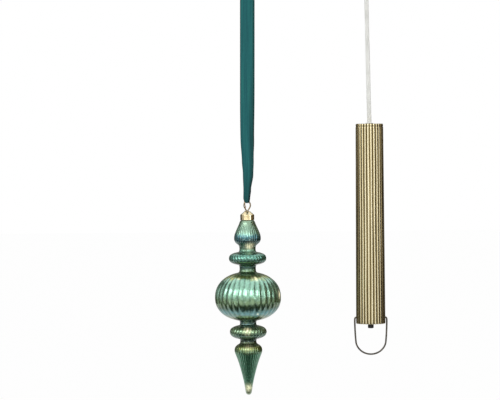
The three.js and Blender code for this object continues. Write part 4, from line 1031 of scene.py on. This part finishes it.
# %% Lights and their wire
resin, tree = start_material("clear resin drop over a warm lamp")
place = add(tree, "TexCoord").outputs["Object"]
cloud = add(tree, "TexNoise", {"Vector": place, "Scale": patches(1.111), "Detail": 2})
tone = add(tree, "ValToRGB", {"Fac": cloud}, stops=[(0.3, "#f4dfa6"), (0.7, "#fff3cf")])
look = {"Base Color": tone, "Roughness": 0.12, "Emission Color": "#ffe2a0", "Emission Strength": 4.0}
finish_material(resin, add(tree, "BsdfPrincipled", look))
for k in range(1, 8):
    low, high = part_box(f"light_{k}")
    bm = bmesh.new()
    bmesh.ops.create_uvsphere(bm, u_segments=20, v_segments=14, radius=1)
    bmesh.ops.scale(bm, verts=bm.verts, vec=(high - low) / 2)
    bmesh.ops.translate(bm, verts=bm.verts, vec=(low + high) / 2)
    drop = make_object(f"light_drop_{k}", bm, resin)
    fit(drop, "ornament", "light_resin", f"light_{k}")
refinish(copper, "light_wire")

# %% [markdown]
# The room is a plain white one, and the world shows it to the camera and to metal and glass
# alike, while the light that falls on the object has a lower strength of its own. Two soft boxes
# stand in front. Five darker cards are seen only in reflections, as a photographer places them
# so that shiny forms get darker flanks between their white middle and white rim: one at the
# right, one at the left with a narrow one before it, a grey one behind, and a low one that gives
# the ball its dark band.

# %% World
ROOM_LIGHT = 0.56
bpy.context.scene.view_settings.view_transform = "Standard"
world = bpy.data.worlds.new("white_room")
bpy.context.scene.world = world
world.use_nodes = True
tree = world.node_tree
tree.nodes.clear()
ray = add(tree, "LightPath").outputs
seen = ray["Is Camera Ray"]
for kind in ("Is Glossy Ray", "Is Transmission Ray"):
    seen = add(tree, "Math", {0: seen, 1: ray[kind]}, operation="MAXIMUM")
strength = add(tree, "MapRange", {"Value": seen, "To Min": ROOM_LIGHT, "To Max": 1.0})
backdrop = add(tree, "Background", {"Color": "#ffffff", "Strength": strength})
add(tree, "OutputWorld", {"Surface": backdrop})

# %% Soft boxes
AIM = (0.03, 0, -0.25)

def soft_box(name, place, size, watts):
    light = bpy.data.lights.new(name, "AREA")
    light.shape = "RECTANGLE"
    light.size, light.size_y = size
    light.energy = watts
    made = bpy.data.objects.new(name, light)
    made.location = place
    made.rotation_euler = (Vector(AIM) - Vector(place)).to_track_quat("-Z", "Y").to_euler()
    bpy.context.scene.collection.objects.link(made)

soft_box("key_box", (-0.75, -1.3, 0.38), (2.2, 0.8), 13)
soft_box("fill_box", (1.3, -0.9, 0.1), (0.4, 0.9), 4)

# %% Dark cards
def card(name, place, turn, size, colour):
    """A soft-edged card that only reflections show"""
    material, tree = start_material(name + " felt")
    axes = add(tree, "SeparateXYZ", {"Vector": add(tree, "TexCoord").outputs["Object"]})
    cover = 1.0
    for axis in ("X", "Y"):
        reach = add(tree, "Math", {0: axes.outputs[axis]}, operation="ABSOLUTE")
        soft_edge = {"Value": reach, "From Min": 1.0, "From Max": 0.7}
        inside = add(tree, "MapRange", soft_edge, interpolation_type="SMOOTHSTEP")
        cover = add(tree, "Math", {0: cover, 1: inside}, operation="MULTIPLY")
    clear = add(tree, "BsdfTransparent")
    felt = add(tree, "Emission", {"Color": colour, "Strength": 1.0})
    finish_material(material, add(tree, "MixShader", {0: cover, 1: clear, 2: felt}))
    bm = bmesh.new()
    bmesh.ops.create_grid(bm, x_segments=1, y_segments=1, size=1)
    made = make_object(name, bm, material)
    made.location, made.scale = place, (*size, 1)
    made.rotation_euler = [math.radians(a) for a in turn]
    made.visible_camera = made.visible_diffuse = made.visible_shadow = False
    made.visible_transmission = False

card("left_card", (-0.75, 0.85, -0.2), (90, 0, 90), (0.8, 0.9), "#4a4a40")
card("left_frame", (-0.75, -0.1, -0.2), (90, 0, 90), (0.09, 0.9), "#3c3a30")
card("right_card", (0.85, 0.45, -0.2), (90, 0, 90), (1.15, 0.9), "#443a2c")
card("back_card", (0, 1.6, -0.2), (90, 0, 0), (2.2, 1.5), "#77786e")
card("low_card", (0, -0.24, -0.59), (0, 0, 0), (1.4, 0.18), "#2a3128")

# %% [markdown]
# The floor is painted white and keeps a trace of the object's shadow. The camera sees it almost
# as plain white, while every other ray meets it as ordinary matt paint.

# %% Floor
FLOOR_Z, FLOOR_HALF = -0.6, 8
WHITENED = 0.975
floor_paint, tree = start_material("matt white floor paint")
paint = add(tree, "BsdfDiffuse", {"Color": "#fbfbfa"})
white = add(tree, "Emission", {"Color": "#ffffff", "Strength": 1.0})
by_camera = add(tree, "LightPath").outputs["Is Camera Ray"]
share = add(tree, "Math", {0: by_camera, 1: WHITENED}, operation="MULTIPLY")
finish_material(floor_paint, add(tree, "MixShader", {0: share, 1: paint, 2: white}))
bm = bmesh.new()
bmesh.ops.create_grid(bm, x_segments=1, y_segments=1, size=FLOOR_HALF)
bmesh.ops.translate(bm, verts=bm.verts, vec=(0, 0, FLOOR_Z))
floor = make_object("floor", bm, floor_paint)
